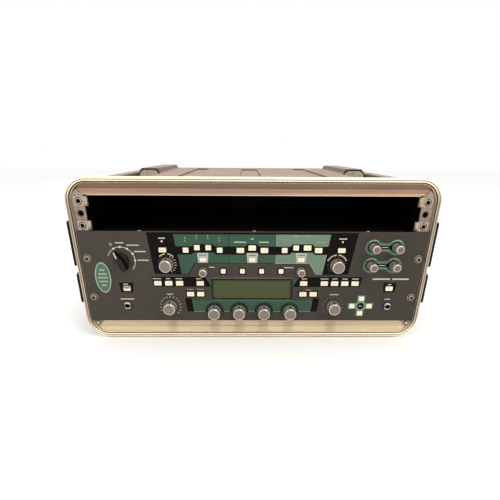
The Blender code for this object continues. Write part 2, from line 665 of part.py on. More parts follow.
def make_jack(name, x, z):
    """A quarter-inch jack: body, threaded bush, nut and bore."""
    reach = JACK_BODY / 2
    shape = bmesh.new()
    add_box(shape, (-reach, RAIL_FACE, -reach), (reach, 0.0260, reach))
    jack = place(mesh_object(name, shape), NICKEL, (x, 0.0, z))
    bush = bmesh.new()
    add_rod(bush, 0.0, 0.0, -0.0035, RAIL_FACE + 0.0010, JACK_BUSH)
    combine(jack, bush, "UNION")
    nut = bmesh.new()
    add_rod(nut, 0.0, 0.0, -0.0026, -0.0003, JACK_NUT, segments=16)
    combine(jack, nut, "UNION")
    bore = bmesh.new()
    add_rod(bore, 0.0, 0.0, -0.0100, 0.0220, JACK_BORE, segments=12)
    combine(jack, bore, "DIFFERENCE")


# --- Controls ------------------------------------------------------------------------------------
def make_knob(name, x, z, size):
    """A turned knob on its shaft, which ends in front of the board."""
    radius, height = size
    profile = ((0.0, height), (radius - 0.0012, height), (radius, height - 0.0010),
               (radius, height * 0.45), (radius * 1.06, KNOB_LIFT + 0.0015),
               (radius * 1.06, KNOB_LIFT), (SHAFT_RADIUS, KNOB_LIFT),
               (SHAFT_RADIUS, -SHAFT_END), (0.0, -SHAFT_END))
    turned_object(name, KNOB_METAL, profile, 20, x, z)


def arc(centre, radius, start, end, steps):
    """Points along an arc about a point on the pointer's own axis; angles are in degrees."""
    return [(centre + radius * math.cos(math.radians(start + (end - start) * i / steps)),
             radius * math.sin(math.radians(start + (end - start) * i / steps)))
            for i in range(steps + 1)]


def make_selector():
    """The pointer knob: a tapered bar with a round tail, on a round skirt."""
    outline = (arc(0.0155, 0.0012, -75, 75, 3) + arc(0.0, 0.0078, 70, 110, 2)
               + arc(-0.0085, 0.0062, 110, 250, 6) + arc(0.0, 0.0078, 250, 290, 2))
    turn = Matrix.Rotation(SELECTOR_REST, 2)
    points = [turn @ Vector(point) for point in outline]
    shape = bmesh.new()
    add_prism(shape, [(point.x, -0.0150, point.y) for point in points], (0.0, 0.0115, 0.0))
    selector = place(mesh_object("mode_selector", shape), BLACK_PLASTIC,
                     (SELECTOR_X, 0.0, SELECTOR_Z))
    skirt = bmesh.new()
    add_rod(skirt, 0.0, 0.0, -0.0045, -KNOB_LIFT, 0.0100, segments=20)
    combine(selector, skirt, "UNION")
    shaft = bmesh.new()
    add_rod(shaft, 0.0, 0.0, -0.0030, SHAFT_END, SHAFT_RADIUS, segments=12)
    combine(selector, shaft, "UNION")


def make_keys(name, caps, bars):
    """Key caps that stand out of the panel, on the bars that join them behind it."""
    shape = bmesh.new()
    left, low, right, high = bars[0]
    add_box(shape, (left, KEY_WEB_FRONT, low), (right, KEY_WEB_REAR, high))
    keys = place(mesh_object(name, shape), KEY_CAP)
    middle = (KEY_WEB_FRONT + KEY_WEB_REAR) / 2
    for left, low, right, high in bars[1:]:
        bar = bmesh.new()
        add_box(bar, (left, KEY_WEB_FRONT, low), (right, KEY_WEB_REAR, high))
        combine(keys, bar, "UNION")
    tops = bmesh.new()
    stems = bmesh.new()
    for x, z, (width, height) in caps:
        add_box(tops, (x - width / 2, -KEY_PROUD, z - height / 2),
                (x + width / 2, middle, z + height / 2))
        add_box(stems, (x - KEY_STEM / 2, middle, z - KEY_STEM / 2),
                (x + KEY_STEM / 2, KEY_STEM_END, z + KEY_STEM / 2))
    combine(keys, tops, "UNION")
    combine(keys, stems, "UNION")


def make_rack_screw(name, x, z):
    """A rack screw in its dished washer."""
    profile = ((0.0, 0.0034), (0.0030, 0.0034), (0.0042, 0.0024), (0.0056, 0.0008),
               (0.0056, 0.0003), (0.0025, 0.0003), (0.0025, -0.0140), (0.0, -0.0140))
    turned_object(name, NICKEL, profile, 16, x, z)


# --- Build ---------------------------------------------------------------------------------------
make_shell()
make_rim()
make_rail(-1, "rail_left")
make_rail(1, "rail_right")
make_bar("top_bar", 1, OPENING_HIGH, FRAME_HIGH)
make_bar("bottom_bar", -1, OPENING_LOW, FRAME_LOW)
make_rear_cover()
for side, hand in ((-1, "left"), (1, "right")):
    make_latch(f"front_latch_{hand}", side, FRONT_PIVOT, LATCH_TIP - FRONT_PIVOT[1])
    make_latch(f"rear_latch_{hand}", side, REAR_PIVOT, COVER_REAR - 0.0060 - REAR_PIVOT[1])

make_front_panel()
make_chassis()
make_front_board()
make_screen()
make_inside()
for jack_name, (jack_x, jack_z) in JACKS.items():
    make_jack(jack_name, jack_x, jack_z)
for number, (screw_side, screw_z) in enumerate([(s, z) for s in (-1, 1) for z in SCREW_HEIGHTS]):
    make_rack_screw(f"rack_screw_{number + 1}", screw_side * SCREW_X, screw_z)

make_selector()
for knob_name, (knob_x, knob_z, knob_size) in KNOBS.items():
    make_knob(knob_name, knob_x, knob_z, knob_size)
for key_name, (key_x, key_z, (key_width, key_height)) in SINGLE_KEYS.items():
    make_keys(key_name, ((key_x, key_z, (key_width, key_height)),),
              ((key_x - key_width / 2 - KEY_LIP, key_z - key_height / 2 - KEY_LIP,
                key_x + key_width / 2 + KEY_LIP, key_z + key_height / 2 + KEY_LIP),))
for bank_name, (bank_caps, bank_bars) in KEY_BANKS.items():
    make_keys(bank_name, bank_caps, bank_bars)
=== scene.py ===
"""Looks of the rack effects unit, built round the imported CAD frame.

Positions on the front panel are given as (x, z): x from the middle of the panel and z from its
lower edge, both in metres. A lift is a distance in front of the panel's face.
"""

import json
import math

import bmesh
import bpy
from mathutils import Matrix, Vector


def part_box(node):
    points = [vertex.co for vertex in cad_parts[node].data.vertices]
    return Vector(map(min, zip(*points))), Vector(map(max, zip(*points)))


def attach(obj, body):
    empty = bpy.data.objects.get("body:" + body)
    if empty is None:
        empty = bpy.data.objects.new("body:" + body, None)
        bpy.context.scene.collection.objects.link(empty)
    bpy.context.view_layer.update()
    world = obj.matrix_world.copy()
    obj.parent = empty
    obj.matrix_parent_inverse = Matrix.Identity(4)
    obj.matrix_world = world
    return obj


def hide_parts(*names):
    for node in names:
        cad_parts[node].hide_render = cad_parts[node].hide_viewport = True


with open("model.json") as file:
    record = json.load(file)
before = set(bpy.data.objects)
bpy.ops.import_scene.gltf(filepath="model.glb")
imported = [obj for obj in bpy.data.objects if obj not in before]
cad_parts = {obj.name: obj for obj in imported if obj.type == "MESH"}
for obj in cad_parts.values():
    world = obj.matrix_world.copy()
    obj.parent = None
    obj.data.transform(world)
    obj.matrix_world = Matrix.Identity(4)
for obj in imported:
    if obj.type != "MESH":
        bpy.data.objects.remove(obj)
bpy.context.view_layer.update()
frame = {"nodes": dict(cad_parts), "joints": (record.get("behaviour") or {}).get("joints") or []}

NODES = frame["nodes"]
PANEL_LOW, PANEL_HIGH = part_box("front_panel")
RAIL_LOW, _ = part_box("rail_left")
RIM_LOW, RIM_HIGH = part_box("front_rim")
MIDDLE_HEIGHT = (RIM_LOW.z + RIM_HIGH.z) / 2
FACE = PANEL_LOW.y
FOOT = PANEL_LOW.z

# Lifts of the printed layers, from the paint up.
FIELD_LIFT = 0.00010
BAND_LIFT = 0.00018
PLATE_LIFT = 0.00026
INK_LIFT = 0.00034
FILM = 0.00006
HAIR = 0.00001                   # a distance too small to see

SIDES = ((-1, "left"), (1, "right"))
UPPER_BANKS = ("stomp_keys", "stack_keys", "effect_keys")
BANKS = (*UPPER_BANKS, "left_row_keys", "right_row_keys")
SECTION_KEYS = ("section_key_1", "section_key_2", "section_key_3")
SOFT_KEYS = ("soft_key_1", "soft_key_2", "soft_key_3", "soft_key_4")
SOFT_KNOBS = ("soft_knob_1", "soft_knob_2", "soft_knob_3", "soft_knob_4")
NAVIGATION_KEYS = ("nav_key_up", "nav_key_down", "nav_key_left", "nav_key_right")


def middle_of(node):
    """The middle of a CAD node's box."""
    low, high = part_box(node)
    return (low + high) / 2


def knob_spot(name):
    """The (x, z) of a knob's axis."""
    middle = middle_of(name)
    return middle.x, middle.z - FOOT


def axis_of(name):
    """The (x, z) of a turning control's axis, from its joint."""
    for joint in frame["joints"]:
        if joint["child"] == name:
            return joint["pos_m"][0], joint["pos_m"][2] - FOOT
    raise ValueError(name)


# --- Shader nodes ---
BLACK = (0.0, 0.0, 0.0, 1.0)
WHITE = (1.0, 1.0, 1.0, 1.0)


def srgb(red, green, blue):
    """Turns a colour of 0 to 255 per channel into linear light."""
    linear = []
    for channel in (red, green, blue):
        share = channel / 255
        linear.append(share / 12.92 if share <= 0.04045 else ((share + 0.055) / 1.055) ** 2.4)
    return (*linear, 1.0)


def add_node(tree, kind, values=None, **settings):
    """Adds a shader node and gives its outputs.

    A value is a number or a colour for an input, or the output of another node.
    """
    node = tree.nodes.new("ShaderNode" + kind)
    for setting, value in settings.items():
        setattr(node, setting, value)
    for key, value in (values or {}).items():
        if isinstance(value, bpy.types.NodeSocket):
            tree.links.new(value, node.inputs[key])
        else:
            node.inputs[key].default_value = value
    return node.outputs


def maths(tree, operation, *values):
    """The result of a math node."""
    return add_node(tree, "Math", dict(enumerate(values)), operation=operation)["Value"]


def vector_maths(tree, operation, *values):
    """The outputs of a vector math node."""
    return add_node(tree, "VectorMath", dict(enumerate(values)), operation=operation)


def colour_ramp(tree, value, *stops):
    """The colour of a ramp with two stops of (position, colour)."""
    ramp = tree.nodes.new("ShaderNodeValToRGB")
    for element, (position, colour) in zip(ramp.color_ramp.elements, stops):
        element.position = position
        element.color = colour
    tree.links.new(value, ramp.inputs["Fac"])
    return ramp.outputs["Color"]


def blend_colours(tree, share, first, second):
    """Goes from a first colour to a second with a share."""
    values = {"Factor": share, "A": first, "B": second}
    return add_node(tree, "Mix", values, data_type="RGBA")["Result"]


def coordinate(tree, kind, axis):
    """One axis of a texture coordinate, which is Object or Normal."""
    place = add_node(tree, "TexCoord")[kind]
    return add_node(tree, "SeparateXYZ", {"Vector": place})[axis]


def new_material(name):
    """A material, its node tree and the inputs of its shader."""
    made = bpy.data.materials.new(name)
    made.use_nodes = True
    return made, made.node_tree, made.node_tree.nodes["Principled BSDF"].inputs


def surface(name, colour, roughness, metallic=0.0, spread=0.10, scale=60.0, stretch=(1, 1, 1),
            grain=900.0, bump=0.05, bump_distance=0.0001, rough_spread=0.08, coat=0.0,
            specular=0.5, glow=0.0, wear=None):
    """A Principled material with mottled colour, uneven roughness and a fine bump.

    Wear is the worn colour, the scale of its noise and how far it reaches.
    """
    made, tree, shader = new_material(name)
    shader["Metallic"].default_value = metallic
    shader["Coat Weight"].default_value = coat
    shader["Specular IOR Level"].default_value = specular
    place = add_node(tree, "TexCoord")["Object"]
    spot = add_node(tree, "Mapping", {"Vector": place, "Scale": stretch})["Vector"]

    patches = add_node(tree, "TexNoise", {"Vector": spot, "Scale": scale, "Detail": 6.0})["Fac"]
    dark = [channel * (1 - spread) for channel in colour[:3]]
    light = [min(1.0, channel * (1 + spread)) for channel in colour[:3]]
    base = colour_ramp(tree, patches, (0.3, (*dark, 1.0)), (0.7, (*light, 1.0)))
    if wear:
        worn_colour, worn_scale, reach = wear
        blotch = add_node(tree, "TexNoise", {"Vector": spot, "Scale": worn_scale, "Detail": 8.0,
                                             "Roughness": 0.7})["Fac"]
        mask = colour_ramp(tree, blotch, (0.62 - reach, BLACK), (0.72 - reach, WHITE))
        base = blend_colours(tree, mask, base, worn_colour)
    tree.links.new(base, shader["Base Color"])

    fine = add_node(tree, "TexNoise", {"Vector": spot, "Scale": grain, "Detail": 4.0})["Fac"]
    rough = add_node(tree, "MapRange", {"Value": fine, "To Min": max(0.02, roughness - rough_spread),
                                        "To Max": min(1.0, roughness + rough_spread)})
    tree.links.new(rough["Result"], shader["Roughness"])
    lump = add_node(tree, "Bump", {"Height": fine, "Strength": bump, "Distance": bump_distance})
    tree.links.new(lump["Normal"], shader["Normal"])
    if glow:
        shader["Emission Color"].default_value = colour
        shader["Emission Strength"].default_value = glow
    return made


def printed(name, colour, spread=0.06, specular=0.12, scale=60.0):
    """Printed paint: matt, with a fine grain."""
    return surface(name, colour, 0.50, spread=spread, scale=scale, grain=2200.0, bump=0.08,
                   specular=specular)


def ink(name, colour, spread=0.10, roughness=0.5, bump=0.05):
    """The ink of lines and labels, also used for a painted highlight and a painted shade."""
    return surface(name, colour, roughness, spread=spread, bump=bump)


def spun_metal(name, colour):
    """Metal turned on a lathe: fine rings about the piece's own y axis."""
    made, tree, shader = new_material(name)
    shader["Metallic"].default_value = 0.75
    shader["Roughness"].default_value = 0.42
    place = add_node(tree, "TexCoord")["Object"]
    flat = vector_maths(tree, "MULTIPLY", place, (1.0, 0.0, 1.0))["Vector"]
    radius = vector_maths(tree, "LENGTH", flat)["Value"]
    rings = add_node(tree, "TexNoise", {"Scale": 9000.0, "W": radius}, noise_dimensions="1D")["Fac"]
    blots = add_node(tree, "TexNoise", {"Vector": place, "Scale": 700.0, "Detail": 5.0})["Fac"]
    both = maths(tree, "MULTIPLY", maths(tree, "ADD", rings, blots), 0.5)
    dark = [channel * 0.78 for channel in colour[:3]]
    base = colour_ramp(tree, both, (0.35, (*dark, 1.0)), (0.70, colour))
    tree.links.new(base, shader["Base Color"])
    lump = add_node(tree, "Bump", {"Height": rings, "Strength": 0.25, "Distance": 0.00005})
    tree.links.new(lump["Normal"], shader["Normal"])
    return made


def scale_colour(material, value, start, end, low, high, easing="LINEAR"):
    """Scales a material's colour from low to high as a value goes from start to end."""
    tree = material.node_tree
    base = tree.nodes["Principled BSDF"].inputs["Base Color"]
    level = add_node(tree, "MapRange", {"Value": value, "From Min": start, "From Max": end,
                                        "To Min": low, "To Max": high}, interpolation_type=easing)
    scaled = add_node(tree, "VectorMath", {0: base.links[0].from_socket, "Scale": level["Result"]},
                      operation="SCALE")
    tree.links.new(scaled["Vector"], base)


def add_shade(material, axis, start, end, low, high, centre=0.0):
    """Scales a colour with the distance along an axis from a centre."""
    tree = material.node_tree
    offset = maths(tree, "SUBTRACT", coordinate(tree, "Object", axis), centre)
    scale_colour(material, maths(tree, "ABSOLUTE", offset), start, end, low, high, "SMOOTHSTEP")


def add_ramp(material, axis, start, end, low, high):
    """Scales a colour with the place along an axis."""
    place = coordinate(material.node_tree, "Object", axis)
    scale_colour(material, place, start, end, low, high)


def add_lean(material, start, end, below, above):
    """Scales a colour with how far a face leans upwards."""
    lean = coordinate(material.node_tree, "Normal", "Z")
    scale_colour(material, lean, start, end, below, above)


def add_flutes(material, count):
    """Paints shade in the grooves between a knob's flutes and a highlight on their ridges, about the
    piece's own y axis.
    """
    tree = material.node_tree
    angle = maths(tree, "ARCTAN2", coordinate(tree, "Object", "X"), coordinate(tree, "Object", "Z"))
    wave = maths(tree, "COSINE", maths(tree, "MULTIPLY", angle, count))
    scale_colour(material, wave, -0.5, 0.6, 0.28, 1.25)


INNER_HALF_HEIGHT = 0.1068       # the painted shade inside the case reaches this far from its middle height
NEST_HALF_HEIGHT = 0.1000        # the walls of the nests in the top stand above this
INNER_HALF_WIDTH = 0.2440        # the latch lugs stand outside this
COVER_INSIDE = 0.0225            # the painted shade inside the cover ends this far behind the shell


def moulded_case(name, inward):
    """Moulded plastic, painted near black as shade on the faces that look into the case more than
    inward.
    """
    made = surface(name, srgb(146, 125, 109), 0.55, spread=0.12, scale=14.0, grain=420.0, bump=0.55,
                   bump_distance=0.0004, specular=0.3, wear=(srgb(205, 188, 170), 38.0, -0.02))
    tree = made.node_tree
    base = tree.nodes["Principled BSDF"].inputs["Base Color"]
    place = add_node(tree, "TexCoord")
    case_low, case_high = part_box("case_shell")
    rear_middle = (0.0, case_high.y, (case_low.z + case_high.z) / 2)
    from_axis = vector_maths(tree, "SUBTRACT", place["Object"], rear_middle)["Vector"]
    outward = vector_maths(tree, "DOT_PRODUCT", from_axis, place["Normal"])["Value"]
    split = add_node(tree, "SeparateXYZ", {"Vector": from_axis})
    height = maths(tree, "ABSOLUTE", split["Z"])
    width = maths(tree, "ABSOLUTE", split["X"])
    level_normal = vector_maths(tree, "MULTIPLY", place["Normal"], (1.0, 1.0, 0.0))["Vector"]
    upright = vector_maths(tree, "LENGTH", level_normal)["Value"]
    wall_height = maths(tree, "MULTIPLY", height, upright)
    inside = maths(tree, "LESS_THAN", outward, inward)
    for value, limit in ((height, INNER_HALF_HEIGHT), (wall_height, NEST_HALF_HEIGHT),
                         (width, INNER_HALF_WIDTH), (split["Y"], COVER_INSIDE)):
        inside = maths(tree, "MULTIPLY", inside, maths(tree, "LESS_THAN", value, limit))
    # Painted shade: the faces inside the case and the cover are near black.
    tree.links.new(blend_colours(tree, inside, base.links[0].from_socket, srgb(4, 4, 3)), base)
    return made


# --- Materials of the panel ---
PANEL_PAINT = surface("panel_paint", srgb(62, 56, 50), 0.60, spread=0.07, scale=45.0, specular=0.2,
                      grain=2600.0, bump=0.25, bump_distance=0.00012)
# Black print; also painted shade in screw sockets, clip nut bores and round the tall knobs' feet.
BLACK_PRINT_AND_SHADE = printed("black_print_and_shade", srgb(16, 12, 11), 0.15, 0.06)
DARK_GREEN = printed("dark_green_print", srgb(53, 80, 65))
LIGHT_GREEN = printed("light_green_print", srgb(101, 124, 104), 0.06, 0.15)
PALE_GREEN = printed("pale_green_print", srgb(106, 140, 118), 0.08, 0.15)
EFFECT_GREEN = printed("effect_green_print", srgb(86, 118, 99), 0.10, scale=160.0)
PALE_LINE = ink("pale_line_print", srgb(150, 166, 144), 0.05, bump=0.03)
WHITE_INK = ink("white_ink", srgb(205, 198, 184), 0.08)
GREY_INK = ink("grey_ink", srgb(150, 143, 132))
DIM_INK = ink("dim_ink", srgb(98, 90, 82))
# A painted highlight: the bright lower edge of the display's frame.
DISPLAY_HIGHLIGHT = ink("display_edge_highlight", srgb(150, 160, 156), 0.08, roughness=0.4)
PLATE_WHITE = ink("plate_white", srgb(165, 166, 160), 0.05, roughness=0.45)
TAP_SHADE = ink("tap_key_shade", srgb(104, 54, 36), 0.15)
KEY_MARK = ink("key_mark", srgb(200, 176, 128), 0.08, bump=0.03)
RED_GLOW = surface("red_glow", srgb(140, 62, 40), 0.4, glow=0.2)
# Both cap materials glow faintly: painted light.
KEY_CAP = surface("key_cap", srgb(226, 216, 190), 0.40, spread=0.03, scale=300.0, bump=0.06,
                  glow=0.08)
WARM_KEY = surface("warm_key", srgb(226, 202, 178), 0.40, spread=0.05, scale=300.0, bump=0.06,
                   glow=0.10)
LAMP_LIT = surface("lamp_lit", srgb(214, 205, 186), 0.3, spread=0.02, bump=0.02, glow=0.25)
LAMP_OFF = surface("lamp_off", srgb(158, 140, 136), 0.25, spread=0.05, bump=0.02, coat=0.3)
LCD_GLASS = surface("display_glass", srgb(66, 71, 39), 0.20, spread=0.05, scale=18.0, grain=500.0,
                    bump=0.01, specular=0.2)
BEZEL = surface("display_bezel", srgb(30, 27, 24), 0.45, bump=0.06, specular=0.15)
BADGE_GREEN = surface("badge_green", srgb(76, 102, 86), 0.45, grain=1600.0, bump=0.15,
                      specular=0.2)
BADGE_LINE = surface("badge_line", srgb(142, 158, 134), 0.40, grain=1600.0, bump=0.10)
BLACK_GLOSS = surface("black_gloss", srgb(5, 4, 4), 0.24, spread=0.20, scale=120.0, specular=0.22,
                      coat=0.10)
JACK_METAL = surface("jack_metal", srgb(196, 182, 164), 0.28, metallic=0.6, scale=160.0,
                     grain=1200.0, bump=0.15)
NICKEL = surface("nickel", srgb(190, 178, 166), 0.20, metallic=1.0, spread=0.08, scale=160.0,
                 grain=1200.0, bump=0.15)
SCREW_METAL = surface("screw_metal", srgb(152, 134, 114), 0.34, metallic=0.5, spread=0.25,
                      scale=400.0, grain=1500.0, bump=0.30, wear=(srgb(84, 68, 54), 400.0, 0.02))
HEAD_METAL = surface("screw_head_metal", srgb(150, 136, 120), 0.30, metallic=0.7, spread=0.25,
                     scale=500.0, grain=1500.0, bump=0.30)
# Painted shade in the hollow of the screws' washers and round the clip nuts' barrels.
WASHER_DISH = surface("washer_dish", srgb(72, 58, 48), 0.45, metallic=0.3, spread=0.20,
                      scale=400.0, bump=0.20, specular=0.2)
KNOB_SIDES = {count: surface(f"knob_side_{count}", srgb(158, 150, 138), 0.38, metallic=0.25,
                             spread=0.15, scale=700.0, grain=1800.0, bump=0.25)
              for count in (16, 18, 24)}
KNOB_EDGE = surface("knob_edge", srgb(206, 196, 182), 0.20, metallic=1.0, spread=0.06)
KNOB_FACE = spun_metal("knob_face", srgb(136, 125, 115))
SMALL_FACE = spun_metal("small_knob_face", srgb(128, 108, 98))
DARK_SHEET = surface("dark_sheet", srgb(20, 18, 17), 0.55, metallic=0.2, spread=0.15, grain=1400.0,
                     bump=0.2, specular=0.15)
BOARD_MASK = surface("board_mask", srgb(24, 84, 46), 0.45, spread=0.20, scale=150.0, bump=0.10)
SUPPLY_SHEET = surface("supply_sheet", srgb(150, 150, 148), 0.40, metallic=0.8, spread=0.08,
                       bump=0.12)

# --- Materials of the case ---
CASE_PLASTIC = moulded_case("case_plastic", -0.030)
COVER_PLASTIC = moulded_case("cover_plastic", -0.005)
BLACK_MOULD = surface("black_moulding", srgb(12, 11, 11), 0.50, spread=0.20, scale=90.0,
                      specular=0.15, grain=1300.0, bump=0.35, bump_distance=0.00015)
RIM_METAL = surface("rim_metal", srgb(226, 212, 186), 0.30, metallic=0.50, spread=0.07, scale=22.0,
                    grain=520.0, bump=0.12, rough_spread=0.12,
                    wear=(srgb(186, 162, 132), 60.0, -0.06))
# The grooves' darker colours are painted shade in the hollows.
RIM_GROOVE = surface("rim_groove", srgb(128, 106, 84), 0.45, metallic=0.3, spread=0.15, bump=0.10)
DEEP_GROOVE = surface("deep_groove", srgb(66, 46, 36), 0.55, spread=0.20, bump=0.10, specular=0.2)
RAIL_METAL = surface("rail_metal", srgb(132, 115, 100), 0.45, metallic=0.25, spread=0.26,
                     scale=210.0, grain=700.0, bump=0.75, bump_distance=0.0004, specular=0.6,
                     wear=(srgb(112, 94, 76), 260.0, -0.02))
CLIP_METAL = surface("clip_metal", srgb(170, 152, 132), 0.38, metallic=0.4, spread=0.28, scale=420.0,
                     bump=0.45, bump_distance=0.0002, wear=(srgb(118, 108, 84), 300.0, 0.02))
BAR_GRAIN = (0.10, 1, 1)         # draws the noise out along the bars
# The bars are one metal; the bottom bar's lighter colour is painted light from above.
TOP_METAL = surface("top_bar_metal", srgb(158, 126, 105), 0.36, metallic=0.40, spread=0.09,
                    stretch=BAR_GRAIN, scale=130.0, bump=0.25, bump_distance=0.00015)
BOTTOM_METAL = surface("bottom_bar_metal", srgb(196, 176, 145), 0.34, metallic=0.45,
                       stretch=BAR_GRAIN, scale=130.0, bump=0.25, bump_distance=0.00015,
                       wear=(srgb(178, 152, 126), 30.0, 0.02))
# A painted highlight along the lips of the cross bars.
BAR_EDGE_HIGHLIGHT = surface("bar_edge_highlight", srgb(226, 208, 180), 0.30, metallic=0.4, spread=0.12,
                     stretch=BAR_GRAIN, scale=160.0, bump=0.15)
# The ridges' front faces: lighter than the case as painted light, framed dark by painted shade.
RIDGE_PAD_LIT = surface("ridge_pad", srgb(172, 163, 142), 0.50, spread=0.45, scale=520.0, bump=0.9,
                    bump_distance=0.0006, wear=(srgb(122, 110, 92), 500.0, 0.02))
PAD_EDGE = surface("ridge_pad_edge", srgb(52, 45, 36), 0.55, spread=0.20, bump=0.20, specular=0.2)

# Painted light and shade: shade in the flutes' grooves and highlights on their ridges, faces lit
# or shaded by how they lean, the rails lighter towards top and foot and shaded black behind their
# face, the rim darker at its sides, the deep groove lighter at its sides and foot, the panel darker
# to the right, painted reflections on the jacks' metal, and painted reflections of the knobs on
# the bottom bar.
for flute_count, side_metal in KNOB_SIDES.items():
    add_flutes(side_metal, flute_count)
add_lean(TOP_METAL, -0.35, 0.35, 0.45, 1.35)
add_lean(BOTTOM_METAL, -0.35, 0.35, 0.80, 1.20)
add_lean(CASE_PLASTIC, 0.40, 1.0, 0.50, 1.0)
add_lean(COVER_PLASTIC, 0.40, 1.0, 0.50, 1.0)
add_shade(RAIL_METAL, "Z", 0.060, 0.100, 1.0, 1.40, MIDDLE_HEIGHT)
add_shade(RAIL_METAL, "Y", 0.0016, 0.0030, 1.0, 0.03, RAIL_LOW.y)
add_shade(RIM_METAL, "Z", 0.080, 0.108, 0.56, 1.42, MIDDLE_HEIGHT)
add_shade(DEEP_GROOVE, "Z", 0.070, 0.104, 2.4, 1.0, MIDDLE_HEIGHT)
add_ramp(DEEP_GROOVE, "Z", RIM_LOW.z + 0.010, RIM_LOW.z + 0.040, 4.0, 1.0)
add_ramp(PANEL_PAINT, "X", -0.15, 0.20, 1.0, 0.87)
add_shade(JACK_METAL, "Z", 0.0014, 0.0034, 0.30, 1.35)
for knob in ("gain_knob", *SOFT_KNOBS, "volume_knob"):
    add_shade(BOTTOM_METAL, "X", 0.0030, 0.0115, 0.76, 1.0, knob_spot(knob)[0])


# --- Mesh helpers ---
def on_panel(x, z, lift=0.0):
    """A point in front of the panel."""
    return Vector((x, FACE - lift, FOOT + z))


def mesh_from(name, shape, materials, smooth=35.0):
    """Turns a bmesh into a mesh, smooth but for the edges sharper than an angle."""
    mesh = bpy.data.meshes.new(name)
    bmesh.ops.recalc_face_normals(shape, faces=shape.faces)
    shape.to_mesh(mesh)
    shape.free()
    for material in materials:
        mesh.materials.append(material)
    mesh.shade_smooth()
    mesh.set_sharp_from_angle(angle=math.radians(smooth))
    return mesh


def add_object(name, data, location=(0, 0, 0)):
    """Puts a new object into the scene."""
    made = bpy.data.objects.new(name, data)
    made.location = location
    bpy.context.scene.collection.objects.link(made)
    return made


def add_piece(name, shape, materials, body="case", location=(0, 0, 0), smooth=35.0):
    """Turns a bmesh into a piece that rides on a body."""
    piece = add_object(name, mesh_from(name, shape, materials, smooth), location)
    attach(piece, body)
    return piece


def add_block(shape, middle, size, turn=0.0, slot=0):
    """Adds a box about its middle, turned about the y axis."""
    matrix = (Matrix.Translation(middle) @ Matrix.Rotation(turn, 4, "Y")
              @ Matrix.Diagonal((*size, 1.0)))
    vertices = bmesh.ops.create_cube(shape, size=1.0, matrix=matrix)["verts"]
    for face in {face for vertex in vertices for face in vertex.link_faces}:
        face.material_index = slot


def add_box(shape, low, high, slot=0):
    """Adds a box between two corners."""
    low, high = Vector(low), Vector(high)
    add_block(shape, (low + high) / 2, high - low, slot=slot)


def add_mark(shape, x, z, width, height, lift=INK_LIFT, angle=0.0, thickness=FILM):
    """Adds a flat bar, turned by an angle about its own middle: print, and once a painted shade."""
    add_block(shape, on_panel(x, z, lift + thickness / 2), (width, thickness, height), -angle)


def bridge(shape, near, far, slot=0):
    """Joins two closed loops of vertices with faces."""
    for i in range(len(near)):
        face = shape.faces.new((near[i - 1], near[i], far[i], far[i - 1]))
        face.material_index = slot


def turned(shape, profile, segments, slots=0, centre=(0, 0, 0), lobe=None):
    """Turns a profile of (radius, lift) about the y axis.

    Slots is one material slot, or one for each step of the profile. Lobe is the (count, depth,
    first ring, last ring) of the flutes.
    """
    centre = Vector(centre)
    rings = []
    for index, (radius, lift) in enumerate(profile):
        if radius < 1e-7:
            rings.append([shape.verts.new(centre + Vector((0, -lift, 0)))])
            continue
        ring = []
        for step in range(segments):
            angle = 2 * math.pi * step / segments
            reach = radius
            if lobe and lobe[2] <= index <= lobe[3]:
                reach -= lobe[1] * (0.5 - 0.5 * math.cos(lobe[0] * angle))
            ring.append(shape.verts.new(
                centre + Vector((reach * math.sin(angle), -lift, reach * math.cos(angle)))))
        rings.append(ring)
    for index, (near, far) in enumerate(zip(rings, rings[1:])):
        slot = slots if isinstance(slots, int) else slots[index]
        for step in range(segments):
            corners = [near[step % len(near)], near[(step + 1) % segments % len(near)],
                       far[(step + 1) % segments % len(far)], far[step % len(far)]]
            unique = list(dict.fromkeys(corners))
            if len(unique) > 2:
                shape.faces.new(unique).material_index = slot


def add_turns(shape, turns, centre=(0, 0, 0)):
    """Turns several profiles about one axis; each turn is (segments, slots, profile)."""
    for segments, slots, profile in turns:
        turned(shape, profile, segments, slots, centre)


def arc(centre_x, centre_z, radius, start, end, steps):
    """Points along an arc; angles are in degrees, anticlockwise from +X."""
    points = []
    for step in range(steps + 1):
        angle = math.radians(start + (end - start) * step / steps)
        points.append((centre_x + radius * math.cos(angle), centre_z + radius * math.sin(angle)))
    return points


def rectangle(x0, z0, x1, z1):
    """The corners of a rectangle."""
    return [(x0, z0), (x1, z0), (x1, z1), (x0, z1)]


def grown(box, side, foot, top=None):
    """An (x0, z0, x1, z1) that is wider by a margin at its sides, foot and top."""
    x0, z0, x1, z1 = box
    return x0 - side, z0 - foot, x1 + side, z1 + (foot if top is None else top)


def add_sheet(shape, loops, middle, thickness):
    """Adds an upright sheet with holes; the loops are an outline and its holes."""
    curve = bpy.data.curves.new("sheet", "CURVE")
    curve.dimensions = "2D"
    curve.fill_mode = "BOTH"
    curve.extrude = thickness / 2
    for loop in loops:
        spline = curve.splines.new("POLY")
        spline.points.add(len(loop) - 1)
        for point, (x, z) in zip(spline.points, loop):
            point.co = (x, z, 0.0, 1.0)
        spline.use_cyclic_u = True
    source = add_object("sheet", curve)
    bpy.context.view_layer.update()
    mesh = bpy.data.meshes.new_from_object(
        source.evaluated_get(bpy.context.evaluated_depsgraph_get()))
    bpy.data.objects.remove(source)
    mesh.transform(Matrix.Translation(middle) @ Matrix.Rotation(math.pi / 2, 4, "X"))
    shape.from_mesh(mesh)
    bmesh.ops.remove_doubles(shape, verts=shape.verts, dist=1e-6)


def film(name, outline, holes, lift, material, thickness=FILM):
    """A thin sheet with holes in front of the panel: a printed field, a painted highlight or a
    painted shadow.
    """
    shape = bmesh.new()
    add_sheet(shape, [outline] + holes, on_panel(0, 0, lift + thickness / 2), thickness)
    add_piece(name, shape, [material], smooth=30.0)


